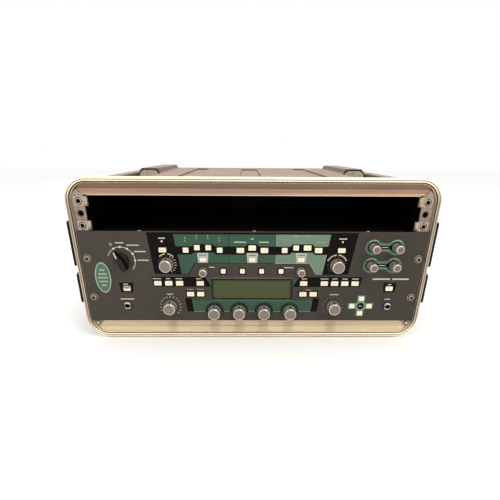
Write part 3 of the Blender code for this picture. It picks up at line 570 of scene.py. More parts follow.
def soften(piece, width=0.0003, segments=2, angle=35.0):
    """Rounds a piece's edges that are sharper than an angle."""
    bevel = piece.modifiers.new("soft_edges", "BEVEL")
    bevel.width = width
    bevel.segments = segments
    bevel.limit_method = "ANGLE"
    bevel.angle_limit = math.radians(angle)
    bevel.harden_normals = False


def refine(node, material, *softness):
    """Gives a CAD node its material and softened edges."""
    piece = NODES[node]
    piece.data.materials.clear()
    piece.data.materials.append(material)
    weld = piece.modifiers.new("weld", "WELD")
    weld.merge_threshold = 0.00001
    if softness:
        soften(piece, *softness)


# --- Keys ---
CAP_SPAN = 0.0128                # a cap's corners lie within this of its first corner
CAP_GAP = 0.0004                 # round a cap, in the film it stands through
WIDE_CAP = 0.009                 # a cap wider than this carries a longer mark


def cap_faces(node):
    """The (x0, z0, x1, z1) of each cap of a key node, read from its front faces."""
    low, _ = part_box(node)
    corners = {(round(vertex.co.x, 5), round(vertex.co.z - FOOT, 5))
               for vertex in NODES[node].data.vertices if vertex.co.y < low.y + HAIR}
    groups = []
    for corner in sorted(corners):
        for group in groups:
            if math.dist(corner, group[0]) < CAP_SPAN:
                group.append(corner)
                break
        else:
            groups.append([corner])
    return [(min(x for x, _ in group), min(z for _, z in group),
             max(x for x, _ in group), max(z for _, z in group)) for group in groups]


KEY_NODES = [name for name in NODES if name.endswith("_key") or "_key_" in name] + list(BANKS)
CAPS = {name: cap_faces(name) for name in KEY_NODES}


def cap_hole(cap):
    """The rectangle round one cap, for the film it stands through."""
    return rectangle(*grown(cap, CAP_GAP, CAP_GAP))


def key_holes(*names):
    """The holes round all caps of the named keys."""
    return [cap_hole(cap) for name in names for cap in CAPS[name]]


def make_keys():
    """Softens every cap and prints a small mark of two bars on it."""
    for name in KEY_NODES:
        refine(name, WARM_KEY if name == "tap_key" else KEY_CAP, 0.0006, 3, 40.0)
        low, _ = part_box(name)
        shape = bmesh.new()
        for x0, z0, x1, z1 in CAPS[name]:
            width = (x1 - x0) * (0.42 if x1 - x0 > WIDE_CAP else 0.24)
            for side in (-0.5, 0.5):
                add_mark(shape, (x0 + x1) / 2 + side * width * 0.56, (z0 + z1) / 2, width * 0.46,
                         0.0010, lift=FACE - low.y + HAIR)
        add_piece(name + "_marks", shape, [KEY_MARK], body=name)


# --- Knobs ---
KNOB_GAP = 0.0008                # a knob's foot stands off the panel by this
INDEX_HALF_WIDTH = 0.0004
FLUTE_DEPTH = 0.00045
SHAFT = ((0.0, -0.0095), (0.0030, -0.0095), (0.0030, 0.0010), (0.0, 0.0010))
KNOB_KINDS = {                   # the radius, the number of flutes and the metal of the face
    "effect": (0.0061, 18, SMALL_FACE),
    "small": (0.0059, 16, SMALL_FACE),
    "large": (0.0090, 24, KNOB_FACE),
}


def knob_mesh(kind, height):
    """A fluted knob with a bright chamfer, a spun face and an index line; its axis is -y."""
    radius, flutes, face_metal = KNOB_KINDS[kind]
    foot = radius * 1.055
    profile = [(0.0030, KNOB_GAP), (foot - 0.0004, KNOB_GAP), (foot, KNOB_GAP + 0.0003),
               (foot, KNOB_GAP + 0.0016), (radius + 0.0001, KNOB_GAP + 0.0024),
               (radius, KNOB_GAP + 0.0032), (radius, height * 0.5), (radius, height - 0.0017),
               (radius - 0.0002, height - 0.0013), (radius - 0.0010, height - 0.0002),
               (radius - 0.0013, height), (radius - 0.0017, height),
               (radius - 0.0019, height - 0.0003), (radius * 0.5, height - 0.0004),
               (0.0, height - 0.0004)]
    shape = bmesh.new()
    side, chamfer, face = [0] * 8, [1] * 4, [2] * 2
    turned(shape, profile, 96 if kind == "large" else 72, side + chamfer + face,
           lobe=(flutes, FLUTE_DEPTH, 5, 7))
    add_box(shape, (-INDEX_HALF_WIDTH, 0.0022 - height, radius - 0.0002),
            (INDEX_HALF_WIDTH, -KNOB_GAP - 0.0030, radius + 0.0002), slot=3)
    return mesh_from(f"{kind}_knob", shape, (KNOB_SIDES[flutes], KNOB_EDGE, face_metal, BLACK_PRINT_AND_SHADE),
                     smooth=32)


def make_knobs():
    """Puts a detailed knob in the place of each plain one."""
    meshes = {}
    for name in [node for node in NODES if "knob" in node]:
        low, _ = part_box(name)
        kind = name.split("_")[0]
        if kind not in KNOB_KINDS:
            kind = "small" if kind in ("type", "browse") else "large"
        if kind not in meshes:
            meshes[kind] = knob_mesh(kind, FACE - low.y)
        middle = middle_of(name)
        piece = add_object(name + "_cap", meshes[kind], (middle.x, FACE, middle.z))
        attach(piece, name)
        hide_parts(name)
        shaft = bmesh.new()
        turned(shaft, SHAFT, 24)
        add_piece(name + "_shaft", shaft, [NICKEL], body=name, location=piece.location)


SELECTOR_REST = math.radians(120)     # the nose's direction at rest, anticlockwise from +x
NOSE_ROOT = 0.0010                    # the nose slopes down from here to its tip
NOSE_LENGTH = 0.0150
NOSE_DROP = 0.48
NOSE_TIP = 0.0155                     # from the axis to the middle of the tip's arc
LINE_FROM, LINE_TO = 0.0062, 0.0148
LINE_HALF_WIDTH = 0.00075


def pointer_outline(inset):
    """The selector's outline at rest, inside an inset, as (x, z) from its axis."""
    along = (arc(NOSE_TIP, 0, 0.0012, -75, 75, 4)
             + arc(0, 0, 0.0066 - inset, 68, 112, 4)
             + arc(-0.0093, 0, 0.0054 - inset, 112, 248, 10)
             + arc(0, 0, 0.0066 - inset, 248, 292, 4))
    points = []
    for x, z in along:
        at_tip = x >= NOSE_LENGTH
        scale = (NOSE_TIP - inset * 1.1) / NOSE_TIP if at_tip else 1.0
        spread = max(0.35, 1.0 - inset / 0.0015) if at_tip else 1.0
        points.append(Matrix.Rotation(SELECTOR_REST, 2) @ Vector((x * scale, z * spread)))
    return points


def nose_share(along):
    """How high the pointer's top is at a distance along its nose, as a share of its height."""
    return 1.0 - NOSE_DROP * min(1.0, max(0.0, (along - NOSE_ROOT) / NOSE_LENGTH))


def make_selector():
    """The pointer knob: a nose that slopes down, a white line along it, and a round skirt."""
    low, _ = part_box("mode_selector")
    front = FACE - low.y
    axis = on_panel(*axis_of("mode_selector"))
    direction = Vector((math.cos(SELECTOR_REST), math.sin(SELECTOR_REST)))
    across = Vector((-direction.y, direction.x))
    shape = bmesh.new()
    levels = ((0.0000, 0.0044), (0.0002, 0.0060), (0.0009, front - 0.0016),
              (0.0013, front - 0.0005), (0.0021, front))        # the inset and lift of each ring
    rings = [[shape.verts.new((point.x, -lift * nose_share(point.dot(direction)), point.y))
              for point in pointer_outline(inset)] for inset, lift in levels]
    for near, far in zip(rings, rings[1:]):
        bridge(shape, near, far)
    shape.faces.new(rings[0][::-1])
    bmesh.ops.triangulate(shape, faces=[shape.faces.new(rings[-1])])
    turned(shape, [(0.0, 0.0008), (0.0100, 0.0008), (0.0103, 0.0012), (0.0101, 0.0030),
                   (0.0094, 0.0042), (0.0086, 0.0046), (0.0, 0.0046)], 64)
    turned(shape, SHAFT, 24)
    piece = add_piece("mode_selector_knob", shape, [BLACK_GLOSS], body="mode_selector",
                      location=axis)
    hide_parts("mode_selector")

    line = bmesh.new()
    loops = []
    for sink in (0.0004, -0.0002):
        loop = []
        for along, side in ((LINE_FROM, -1), (LINE_TO, -1), (LINE_TO, 1), (LINE_FROM, 1)):
            spot = direction * along + across * (LINE_HALF_WIDTH * side)
            loop.append(line.verts.new((spot.x, sink - front * nose_share(along), spot.y)))
        line.faces.new(loop)
        loops.append(loop)
    bridge(line, *loops)
    add_piece("mode_selector_line", line, [WHITE_INK], body="mode_selector", location=axis)


# --- Printed fields ---
def stepped(x0, x1, base, rise, step_from, step_to, slope=0.0030):
    """The points of an edge from x0 to x1 that rises between two places."""
    return [(x0, base), (step_from - slope, base), (step_from, base + rise),
            (step_to, base + rise), (step_to + slope, base), (x1, base)]


SHAFT_HOLE_RADIUS = 0.0042
WELL_MARGIN = 0.0019
ROW_FOOT = 0.050                 # the side rows stand above this, their lower keys below it
PLATE_THICKNESS = 0.0003


def round_hole(x, z, radius):
    """A round hole with 24 sides."""
    return arc(x, z, radius, 0, 345, 23)


def shaft_holes(names):
    """Round holes for the shafts of knobs."""
    return [round_hole(*knob_spot(name), SHAFT_HOLE_RADIUS) for name in names]


def well(name, cap):
    """A black surround with clipped corners round one cap."""
    x0, z0, x1, z1 = grown(cap, WELL_MARGIN, WELL_MARGIN)
    clip = WELL_MARGIN / 2
    outline = [(x0 + clip, z0), (x1 - clip, z0), (x1, z0 + clip), (x1, z1 - clip),
               (x1 - clip, z1), (x0 + clip, z1), (x0, z1 - clip), (x0, z0 + clip)]
    film(name, outline, [cap_hole(cap)], FIELD_LIFT, BLACK_PRINT_AND_SHADE)


def make_black_fields():
    """The black fields behind the upper keys, the side rows and two single keys, and the wells."""
    field = [(-0.1475, 0.1312), (-0.1410, 0.0728), (-0.0926, 0.0716), (-0.0826, 0.0882),
             (0.0780, 0.0882), (0.0893, 0.0716), (0.1358, 0.0722), (0.1441, 0.1312)]
    keys = key_holes("input_key", "output_key", *UPPER_BANKS, *SECTION_KEYS)
    film("upper_black_field", field, keys + shaft_holes(("input_knob", "output_knob")),
         FIELD_LIFT, BLACK_PRINT_AND_SHADE)
    rows = {
        "left_row_keys": [(-0.1462, 0.0682), (-0.1438, 0.0537), (-0.0612, 0.0537), (-0.0700, 0.0682)],
        "right_row_keys": [(0.1572, 0.0682), (0.1548, 0.0537), (0.0572, 0.0537), (0.0660, 0.0682)],
    }
    for name, outline in rows.items():
        holes = [cap_hole(cap) for cap in CAPS[name] if cap[1] > ROW_FOOT]
        film(name + "_field", outline, holes, FIELD_LIFT, BLACK_PRINT_AND_SHADE)
        below = [cap for cap in CAPS[name] if cap[1] < ROW_FOOT]
        for number, cap in enumerate(below):
            well(f"{name}_well_{number + 1}", cap)
    for name in SOFT_KEYS:
        well(name + "_well", CAPS[name][0])
    lone = {
        "tap_key": [(-0.1940, 0.0596), (-0.1732, 0.0596), (-0.1752, 0.0450), (-0.1922, 0.0450)],
        "exit_key": [(0.1892, 0.0598), (0.2086, 0.0598), (0.2072, 0.0452), (0.1906, 0.0452)],
    }
    for name, outline in lone.items():
        film(name + "_field", outline, key_holes(name), FIELD_LIFT, BLACK_PRINT_AND_SHADE)


def make_tap_glow():
    """The red light above the tap key, and the shaded strip on the upper edge of its cap."""
    x0, _, x1, z1 = CAPS["tap_key"][0]
    low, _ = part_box("tap_key")
    glow = bmesh.new()
    add_mark(glow, (x0 + x1) / 2, z1 + 0.0010, x1 - x0, 0.0010, lift=BAND_LIFT)
    add_piece("tap_key_glow", glow, [RED_GLOW])
    strip = bmesh.new()
    add_mark(strip, (x0 + x1) / 2, z1 - 0.0016, x1 - x0 - 0.0010, 0.0018, lift=FACE - low.y + HAIR)
    add_piece("tap_key_shade", strip, [TAP_SHADE], body="tap_key")


def make_bands():
    """The green bands behind the upper keys, above and below their middle line."""
    for name, material, left_top, left, right_top, right, step_from, step_to in (
            ("left", DARK_GREEN, -0.1109, -0.1085, -0.0352, -0.0352, -0.0830, -0.0570),
            ("middle", DARK_GREEN, -0.0346, -0.0346, 0.0308, 0.0308, -0.0085, 0.0040),
            ("right", LIGHT_GREEN, 0.0314, 0.0314, 0.1063, 0.1038, 0.0540, 0.0815)):
        edge = stepped(left, right, 0.1122, 0.0032, step_from, step_to)
        film(name + "_upper_band", [(right_top, 0.1286), (left_top, 0.1286)] + edge, [],
             BAND_LIFT, material)
    for name, material, low_edge, left, right, step_from, step_to, key in (
            ("left", DARK_GREEN, [(-0.1026, 0.0726), (-0.0934, 0.0726), (-0.0836, 0.0888),
                                  (-0.0352, 0.0888)],
             -0.1066, -0.0352, -0.0840, -0.0560, "section_key_1"),
            ("middle", DARK_GREEN, [(-0.0346, 0.0888), (0.0308, 0.0888)],
             -0.0346, 0.0308, -0.0095, 0.0050, "section_key_2"),
            ("right", LIGHT_GREEN, [(0.0314, 0.0888), (0.0790, 0.0888), (0.0893, 0.0728),
                                    (0.0976, 0.0728)],
             0.0314, 0.1024, 0.0530, 0.0825, "section_key_3")):
        top_edge = stepped(left, right, 0.1006, 0.0030, step_from, step_to)
        film(name + "_lower_band", low_edge + top_edge[::-1], key_holes(key), BAND_LIFT, material)


def make_plates():
    """The white plates under the section keys: wider at the top than at the foot."""
    for number, name in enumerate(SECTION_KEYS):
        x0, _, x1, _ = CAPS[name][0]
        middle = (x0 + x1) / 2
        plate = [(middle - 0.0079, 0.1030), (middle + 0.0079, 0.1030),
                 (middle + 0.0067, 0.0890), (middle - 0.0067, 0.0890)]
        film(f"section_plate_{number + 1}", plate, key_holes(name), PLATE_LIFT, PLATE_WHITE,
             thickness=PLATE_THICKNESS)


def make_display_fields():
    """The corners beside the display, the strip under it and the ends of that strip."""
    for side, name in SIDES:
        corner = [(-0.0020 + side * x, z) for x, z in
                  ((0.0668, 0.0668), (0.0590, 0.0668), (0.0590, 0.0548))]
        film(name + "_screen_corner", corner, [], BAND_LIFT, DARK_GREEN)
        stripe = [(-0.0014 + side * x, z) for x, z in
                  ((0.0895, 0.0358), (0.0990, 0.0358), (0.0962, 0.0148), (0.0868, 0.0148))]
        film(name + "_strip_end", stripe, [], FIELD_LIFT, BLACK_PRINT_AND_SHADE)
    strip = [(-0.0903, 0.0330), (0.0877, 0.0330), (0.0855, 0.0152), (-0.0878, 0.0152)]
    film("lower_strip", strip, shaft_holes(SOFT_KNOBS), BAND_LIFT, DARK_GREEN)


def make_lines():
    """The thin lines along the fields: (x, z, width, height) and a lean in degrees."""
    for name, ink_used, lines in (
            ("pale_lines", GREY_INK, ((-0.0012, 0.0149, 0.1735, 0.0006, 0),
                                      (-0.0020, 0.0336, 0.1150, 0.0007, 0),
                                      (-0.0020, 0.0666, 0.1180, 0.0006, 0))),
            ("light_band_edges", PALE_LINE, ((0.0546, 0.0885, 0.0478, 0.0006, 0),
                                             (0.0314, 0.0946, 0.0006, 0.0118, 0),
                                             (0.0314, 0.1205, 0.0006, 0.0160, 0),
                                             (0.1000, 0.0866, 0.0006, 0.0285, -9.5),
                                             (0.0842, 0.0806, 0.0006, 0.0190, 33),
                                             (0.0934, 0.0726, 0.0083, 0.0006, 0)))):
        shape = bmesh.new()
        for x, z, width, height, lean in lines:
            add_mark(shape, x, z, width, height, angle=math.radians(lean))
        add_piece(name, shape, [ink_used])


def dog_bone(left, right, z, radius, bar):
    """The outline of two discs joined by a bar; the bar runs into each with a short slope."""
    opening = math.degrees(math.asin(bar / 2 / radius)) + 10
    near, far = left + radius * 1.10, right - radius * 1.10
    return (arc(left, z, radius, opening, 360 - opening, 30)
            + [(near, z - bar / 2), (far, z - bar / 2)]
            + arc(right, z, radius, 180 + opening, 540 - opening, 30)
            + [(far, z + bar / 2), (near, z + bar / 2)])


def make_effect_fields():
    """The pale dog-bone fields round the tall knobs, with dark wells, labels and ticks."""
    for number, pair in ((1, ("effect_knob_1", "effect_knob_2")),
                         (2, ("effect_knob_3", "effect_knob_4"))):
        (x0, z), (x1, _) = [knob_spot(name) for name in pair]
        holes = shaft_holes(pair)
        film(f"effect_field_{number}", dog_bone(x0, x1, z, 0.0112, 0.0118), holes, FIELD_LIFT,
             EFFECT_GREEN)
        # The dark dog-bone is print under the labels and painted shadow round the knobs' feet.
        film(f"effect_well_{number}", dog_bone(x0, x1, z, 0.0078, 0.0050), holes, BAND_LIFT,
             BLACK_PRINT_AND_SHADE)
        trim = bmesh.new()
        for x in (x0, x1):
            for step in range(10):
                add_spoke(trim, (x, z), 0.0095, math.radians(125 - step * 8), 0.0009, 0.0010,
                          -math.pi / 2)
        dashes(trim, (x0 + x1) / 2, z, 0.0090, 0.0011)
        add_piece(f"effect_labels_{number}", trim, [WHITE_INK])
        ticks = bmesh.new()
        for name in pair:
            add_ticks(ticks, name, 0.0088, -140, 140, 15, 0.0007, 0.0017)
        add_piece(f"effect_ticks_{number}", ticks, [BLACK_PRINT_AND_SHADE])


DASHES = (1.0, 0.7, 1.2, 0.8, 1.0, 0.6, 1.1)
DASH = 0.0011
DASH_GAP = 0.00032
SHORTEST_DASH = 0.0003


def dashes(shape, x, z, width, height, lift=INK_LIFT):
    """A label stand-in: a row of plain bars of uneven width."""
    start, limit = x - width / 2, x + width / 2
    index = 0
    while start < limit - SHORTEST_DASH:
        length = min(DASH * DASHES[index % len(DASHES)], limit - start)
        add_mark(shape, start + length / 2, z, length, height, lift=lift)
        start += length + DASH_GAP
        index += 1


SMALL_LABEL = 0.0013
TALL_LABEL = 0.0016
SELECTOR_ARC = 0.0190            # the radius of the arc and the dots round the selector
SUN_SPOT = (-0.1979, 0.1144)     # a small ring of bars beside the selector's label


def make_white_labels():
    """White rows of plain bars where the lettering would be, with arcs, dots and ticks."""
    white = bmesh.new()
    small, tall = SMALL_LABEL, TALL_LABEL
    labels = (
        (-0.1266, 0.1233, 0.0092, tall), (0.1233, 0.1230, 0.0105, tall),
        (-0.0189, 0.1182, 0.0166, small), (-0.0023, 0.1226, 0.0040, small),
        (0.0141, 0.1182, 0.0134, small), (-0.0948, 0.1233, 0.0012, small),
        (-0.0790, 0.1267, 0.0012, small), (-0.0633, 0.1267, 0.0012, small),
        (-0.0475, 0.1233, 0.0012, small), (-0.0592, 0.0826, 0.0078, small),
        (0.0502, 0.0822, 0.0135, small), (-0.1385, 0.0656, 0.0122, small),
        (-0.1228, 0.0656, 0.0058, small), (-0.1070, 0.0656, 0.0094, small),
        (-0.0785, 0.0656, 0.0080, small), (0.0735, 0.0656, 0.0078, small),
        (0.1030, 0.0656, 0.0120, small), (0.1180, 0.0656, 0.0080, small),
        (0.1325, 0.0656, 0.0078, small), (0.1475, 0.0656, 0.0098, small),
        (-0.1220, 0.0420, 0.0086, small), (0.1188, 0.0417, 0.0128, small),
        (-0.1842, 0.0573, 0.0070, small), (0.1986, 0.0573, 0.0054, small),
        (-0.1850, 0.0345, 0.0195, tall), (0.1987, 0.0348, 0.0085, small),
        (-0.1855, 0.1168, 0.0112, tall), (-0.1675, 0.1135, 0.0166, tall),
        (-0.1585, 0.1047, 0.0158, tall), (-0.1552, 0.0924, 0.0156, tall),
        (0.1848, 0.0656, 0.0250, 0.0021), (0.2130, 0.0656, 0.0240, 0.0021),
    )
    for label in labels:
        dashes(white, *label)
    for step in range(8):
        add_spoke(white, SUN_SPOT, 0.0017, math.radians(step * 45), 0.0005, 0.0013)
    for start, end, steps in ((1, 120, 40), (128, 160, 11), (-42, -7, 12)):
        add_arc(white, "mode_selector", SELECTOR_ARC, start, end, 0.0008, steps)
    for angle in (120, 90, 60, 30, 0):
        add_dot(white, "mode_selector", SELECTOR_ARC, angle, 0.0015)
    for name, arcs in (("input_knob", ((97, 132), (48, 83))), ("output_knob", ((95, 155), (25, 85)))):
        for start, end in arcs:
            add_arc(white, name, 0.0146, start, end, 0.0014, 12, gap=0.18)
    add_ticks(white, "input_knob", 0.0122, 28, 150, 8, 0.0007, 0.0032)
    add_piece("white_labels", white, [WHITE_INK])


def make_grey_labels():
    """Grey rows of plain bars, the gain knob's ticks and small ticks at the soft keys."""
    grey = bmesh.new()
    for x, z, width in ((-0.0917, 0.0496, 0.0094), (-0.0770, 0.0496, 0.0088),
                        (0.0802, 0.0492, 0.0078), (0.0589, 0.1265, 0.0080),
                        (0.0748, 0.1265, 0.0090), (0.0925, 0.1180, 0.0140),
                        (0.0431, 0.1222, 0.0014)):
        dashes(grey, x, z, width, SMALL_LABEL)
    add_ticks(grey, "gain_knob", 0.0148, -135, 135, 15, 0.0013, 0.0032)
    for name in SOFT_KEYS:
        x0, z0, x1, _ = CAPS[name][0]
        add_mark(grey, (x0 + x1) / 2, z0 - 0.0034, 0.0006, 0.0014)
        add_mark(grey, (x0 + x1) / 2, 0.0314, 0.0006, 0.0012)
    add_piece("grey_labels", grey, [GREY_INK])


def make_dark_labels():
    """Dim ticks, the black ticks of the soft knobs and the green labels of the white plates."""
    dim = bmesh.new()
    add_ticks(dim, "volume_knob", 0.0145, -135, 135, 15, 0.0011, 0.0030)
    add_ticks(dim, "input_knob", 0.0118, -150, 4, 11, 0.0005, 0.0024)
    add_ticks(dim, "output_knob", 0.0122, -140, 150, 17, 0.0006, 0.0026)
    add_piece("dim_ticks", dim, [DIM_INK])

    black = bmesh.new()
    for name in SOFT_KNOBS:
        add_ticks(black, name, 0.0120, -90, 90, 11, 0.0022, 0.0040)
    add_piece("soft_knob_ticks", black, [BLACK_PRINT_AND_SHADE])

    plate_marks = bmesh.new()
    for name in SECTION_KEYS:
        x0, _, x1, z1 = CAPS[name][0]
        dashes(plate_marks, (x0 + x1) / 2, z1 + 0.0035, 0.0105, SMALL_LABEL,
               lift=PLATE_LIFT + PLATE_THICKNESS)
    add_piece("section_plate_marks", plate_marks, [DARK_GREEN])


def add_spoke(shape, spot, radius, angle, length, width, lean=0.0):
    """Adds a bar at an angle about a spot, pointing outwards or turned from that by a lean."""
    add_mark(shape, spot[0] + radius * math.cos(angle), spot[1] + radius * math.sin(angle),
             length, width, angle=angle + lean)


def add_arc(shape, name, radius, start, end, thickness, steps, gap=-0.05):
    """A printed arc about a knob, made of short straight bars; gap is a share of a bar."""
    span = math.radians(end - start) / steps
    for step in range(steps):
        angle = math.radians(start) + span * (step + 0.5)
        add_spoke(shape, axis_of(name), radius, angle, radius * span * (1 - gap), thickness,
                  math.pi / 2)


def add_ticks(shape, name, radius, start, end, count, width, length):
    """Radial ticks about a knob; angles run clockwise from straight up."""
    for step in range(count):
        angle = math.radians(90 - start - (end - start) * step / (count - 1))
        add_spoke(shape, axis_of(name), radius, angle, length, width)


def add_dot(shape, name, reach, angle, radius):
    """A printed dot at an angle about a knob."""
    x, z = axis_of(name)
    along = math.radians(angle)
    top = INK_LIFT + FILM * 1.5
    turned(shape, [(0.0, INK_LIFT), (radius, INK_LIFT), (radius, top), (0.0, top)], 20,
           centre=on_panel(x + reach * math.cos(along), z + reach * math.sin(along)))


def make_lamps():
    """Small domes at (x, z, radius): two lit lamps and seven unlit ones."""
    small = 0.0010
    for name, material, spots in (
            ("lit_lamps", LAMP_LIT, ((-0.1270, 0.1189, 0.0013), (0.1233, 0.1186, 0.0012))),
            ("unlit_lamps", LAMP_OFF,
             ((-0.0948, 0.1194, small), (-0.0790, 0.1231, small), (-0.0633, 0.1231, small),
              (-0.0475, 0.1194, small), (0.0431, 0.1190, small), (0.0589, 0.1228, small),
              (0.0748, 0.1228, small)))):
        shape = bmesh.new()
        for x, z, radius in spots:
            turned(shape, [(radius, 0.0), (radius, 0.0005), (radius * 0.85, 0.0009),
                           (radius * 0.45, 0.0012), (0.0, 0.0013)], 24, centre=on_panel(x, z))
        add_piece(name, shape, [material])


def oval(x, z, half_width, half_height, steps=48):
    """The points of an upright oval."""
    return [(x + half_width * math.cos(2 * math.pi * i / steps),
             z + half_height * math.sin(2 * math.pi * i / steps)) for i in range(steps)]


BADGE_SPOT = (-0.2150, 0.0670)
BADGE_THICKNESS = 0.0006
BADGE_PITCH = 0.0056             # from one bar to the next


def make_badge():
    """A plain oval badge with a raised ring and five blank bars: a generic mark."""
    outline = oval(*BADGE_SPOT, 0.0112, 0.0225)
    top = FIELD_LIFT + BADGE_THICKNESS
    film("badge_plate", outline, [], FIELD_LIFT, BADGE_GREEN, thickness=BADGE_THICKNESS)
    film("badge_ring", outline, [oval(*BADGE_SPOT, 0.0097, 0.0208)], top, BADGE_LINE,
         thickness=0.0004)
    x, z = BADGE_SPOT
    bars = bmesh.new()
    for step, width in ((-2, 0.0070), (-1, 0.0120), (0, 0.0140), (1, 0.0120), (2, 0.0070)):
        add_mark(bars, x, z + step * BADGE_PITCH, width, 0.0022, lift=top, thickness=0.0003)
    add_piece("badge_bars", bars, [BADGE_LINE])


def make_navigation():
    """The round plate amid the navigation keys, its ring and a frame round each key."""
    left, upper = CAPS["nav_key_left"][0], CAPS["nav_key_up"][0]
    x = (upper[0] + upper[2]) / 2
    z = (left[1] + left[3]) / 2
    film("navigation_ring", oval(x, z, 0.0080, 0.0080), [oval(x, z, 0.0050, 0.0050)],
         FIELD_LIFT, PALE_GREEN, thickness=0.0004)
    for name in NAVIGATION_KEYS:
        film(name + "_frame", rectangle(*grown(CAPS[name][0], 0.0016, 0.0014)), key_holes(name),
             FIELD_LIFT, PALE_GREEN, thickness=0.0002)
    disc = bmesh.new()
    turned(disc, [(0.0, 0.0), (0.0051, 0.0), (0.0051, 0.0006), (0.0047, 0.0009),
                  (0.0, 0.0010)], 48, centre=on_panel(x, z))
    add_piece("navigation_disc", disc, [BLACK_PRINT_AND_SHADE])
    mark = bmesh.new()
    dashes(mark, x, z, 0.0044, 0.0013, lift=0.0010)
    add_piece("navigation_mark", mark, [WHITE_INK])


# --- Display ---
WINDOW = (-0.0595, 0.0345, 0.0555, 0.0638)       # the display's window in the panel


def make_display():
    """The display's glass, with a frame round its window and a painted highlight under the frame."""
    refine("screen_module", LCD_GLASS, 0.0003)
    outer = rectangle(*grown(WINDOW, 0.0014, 0.0006, 0.0026))
    film("display_bezel", outer, [rectangle(*grown(WINDOW, -0.0006, -0.0004))], FIELD_LIFT, BEZEL,
         thickness=0.0005)
    x0, z0, x1, _ = WINDOW
    # A painted highlight under the frame's lower edge.
    film("display_lower_highlight", rectangle(x0 - 0.0004, z0 - 0.0016, x1 + 0.0004, z0 - 0.0007), [],
         INK_LIFT, DISPLAY_HIGHLIGHT)


# --- Jacks and screws ---
def make_jacks():
    """Quarter-inch jacks: a body behind the panel, a dark ring, a bush with its nut and a bore."""
    behind = PANEL_HIGH.y - FACE + 0.0004
    turns = (
        (48, 1, [(0.0040, 0.0001), (0.0066, 0.0001), (0.0066, 0.0005), (0.0040, 0.0005)]),
        (72, 0, [(0.0046, -behind - 0.0002), (0.0046, 0.0005), (0.0053, 0.0005), (0.0055, 0.0009),
                 (0.0055, 0.0017), (0.0051, 0.0024), (0.0045, 0.0026), (0.0044, 0.0022),
                 (0.0042, 0.0022), (0.0042, 0.0031), (0.0039, 0.0034), (0.0035, 0.0033),
                 (0.0034, 0.0029)]),
        (48, 1, [(0.0034, 0.0029), (0.0033, 0.0025), (0.0033, -0.0210), (0.0, -0.0210)]),
    )
    for name in ("phones_jack", "input_jack"):
        low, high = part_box(name)
        middle = middle_of(name)
        reach = (high.x - low.x) / 2
        shape = bmesh.new()
        add_box(shape, (-reach, behind, -reach), (reach, high.y - FACE, reach), slot=1)
        add_turns(shape, turns)
        piece = add_piece(name + "_assembly", shape, [JACK_METAL, BLACK_GLOSS],
                          location=(middle.x, FACE, middle.z))
        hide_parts(name)


def make_rack_screws():
    """Rack screws: a dished washer and a domed head with a hexagon socket."""
    turns = (
        (48, [0, 0, 0, 0, 0, 3, 3], [
            (0.0026, 0.0003), (0.0057, 0.0003), (0.0059, 0.0006), (0.0057, 0.0012),
            (0.0052, 0.0017), (0.0048, 0.0016), (0.0042, 0.0009), (0.0026, 0.0008)]),
        (48, 2, [(0.0, -0.0140), (0.0023, -0.0140), (0.0025, -0.0130), (0.0025, 0.0010),
                 (0.0035, 0.0012), (0.0039, 0.0018), (0.0037, 0.0027), (0.0029, 0.0034),
                 (0.0020, 0.0036)]),
        (6, 1, [(0.0020, 0.0036), (0.0019, 0.0034), (0.0017, 0.0014), (0.0, 0.0012)]),
    )
    for name in [node for node in NODES if node.startswith("rack_screw_")]:
        middle = middle_of(name)
        shape = bmesh.new()
        add_turns(shape, turns)
        # Painted shade: the socket is black and the washer's inner slope dark.
        piece = add_piece(name + "_head", shape, [SCREW_METAL, BLACK_PRINT_AND_SHADE, HEAD_METAL, WASHER_DISH],
                          location=(middle.x, FACE, middle.z))
        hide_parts(name)


COVER_SCREWS = (-0.1590, 0.0006, 0.1594)
COVER_SCREW_BACK = 0.0110        # from the panel's face to their axes


def make_cover_screws():
    """Pan-head screws along the front edge of the top cover."""
    _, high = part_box("top_cover")
    shape = bmesh.new()
    for x in COVER_SCREWS:
        start = len(shape.verts)
        turned(shape, [(0.0, 0.0), (0.0038, 0.0), (0.0038, 0.0010), (0.0032, 0.0020),
                       (0.0012, 0.0026), (0.0, 0.0026)], 24)
        shape.verts.ensure_lookup_table()
        place = Matrix.Translation((x, FACE + COVER_SCREW_BACK, high.z))
        bmesh.ops.transform(shape, verts=shape.verts[start:],
                            matrix=place @ Matrix.Rotation(-math.pi / 2, 4, "X"))
    add_piece("top_cover_screws", shape, [NICKEL])


# --- Case ---
def rounded_ring(shape, low, high, inset, radius, depth, steps=14):
    """Adds a rounded rectangle of vertices at a depth, inside an inset from a box."""
    points = []
    for corner, (sign_x, sign_z) in enumerate(((1, 1), (-1, 1), (-1, -1), (1, -1))):
        centre_x = (high.x - radius) if sign_x > 0 else (low.x + radius)
        centre_z = (high.z - radius) if sign_z > 0 else (low.z + radius)
        points += arc(centre_x, centre_z, radius - inset, corner * 90, corner * 90 + 90, steps)
    return [shape.verts.new((x, depth, z)) for x, z in points]


RIM_RADIUS = 0.0303              # the outer radius of the rim's corners


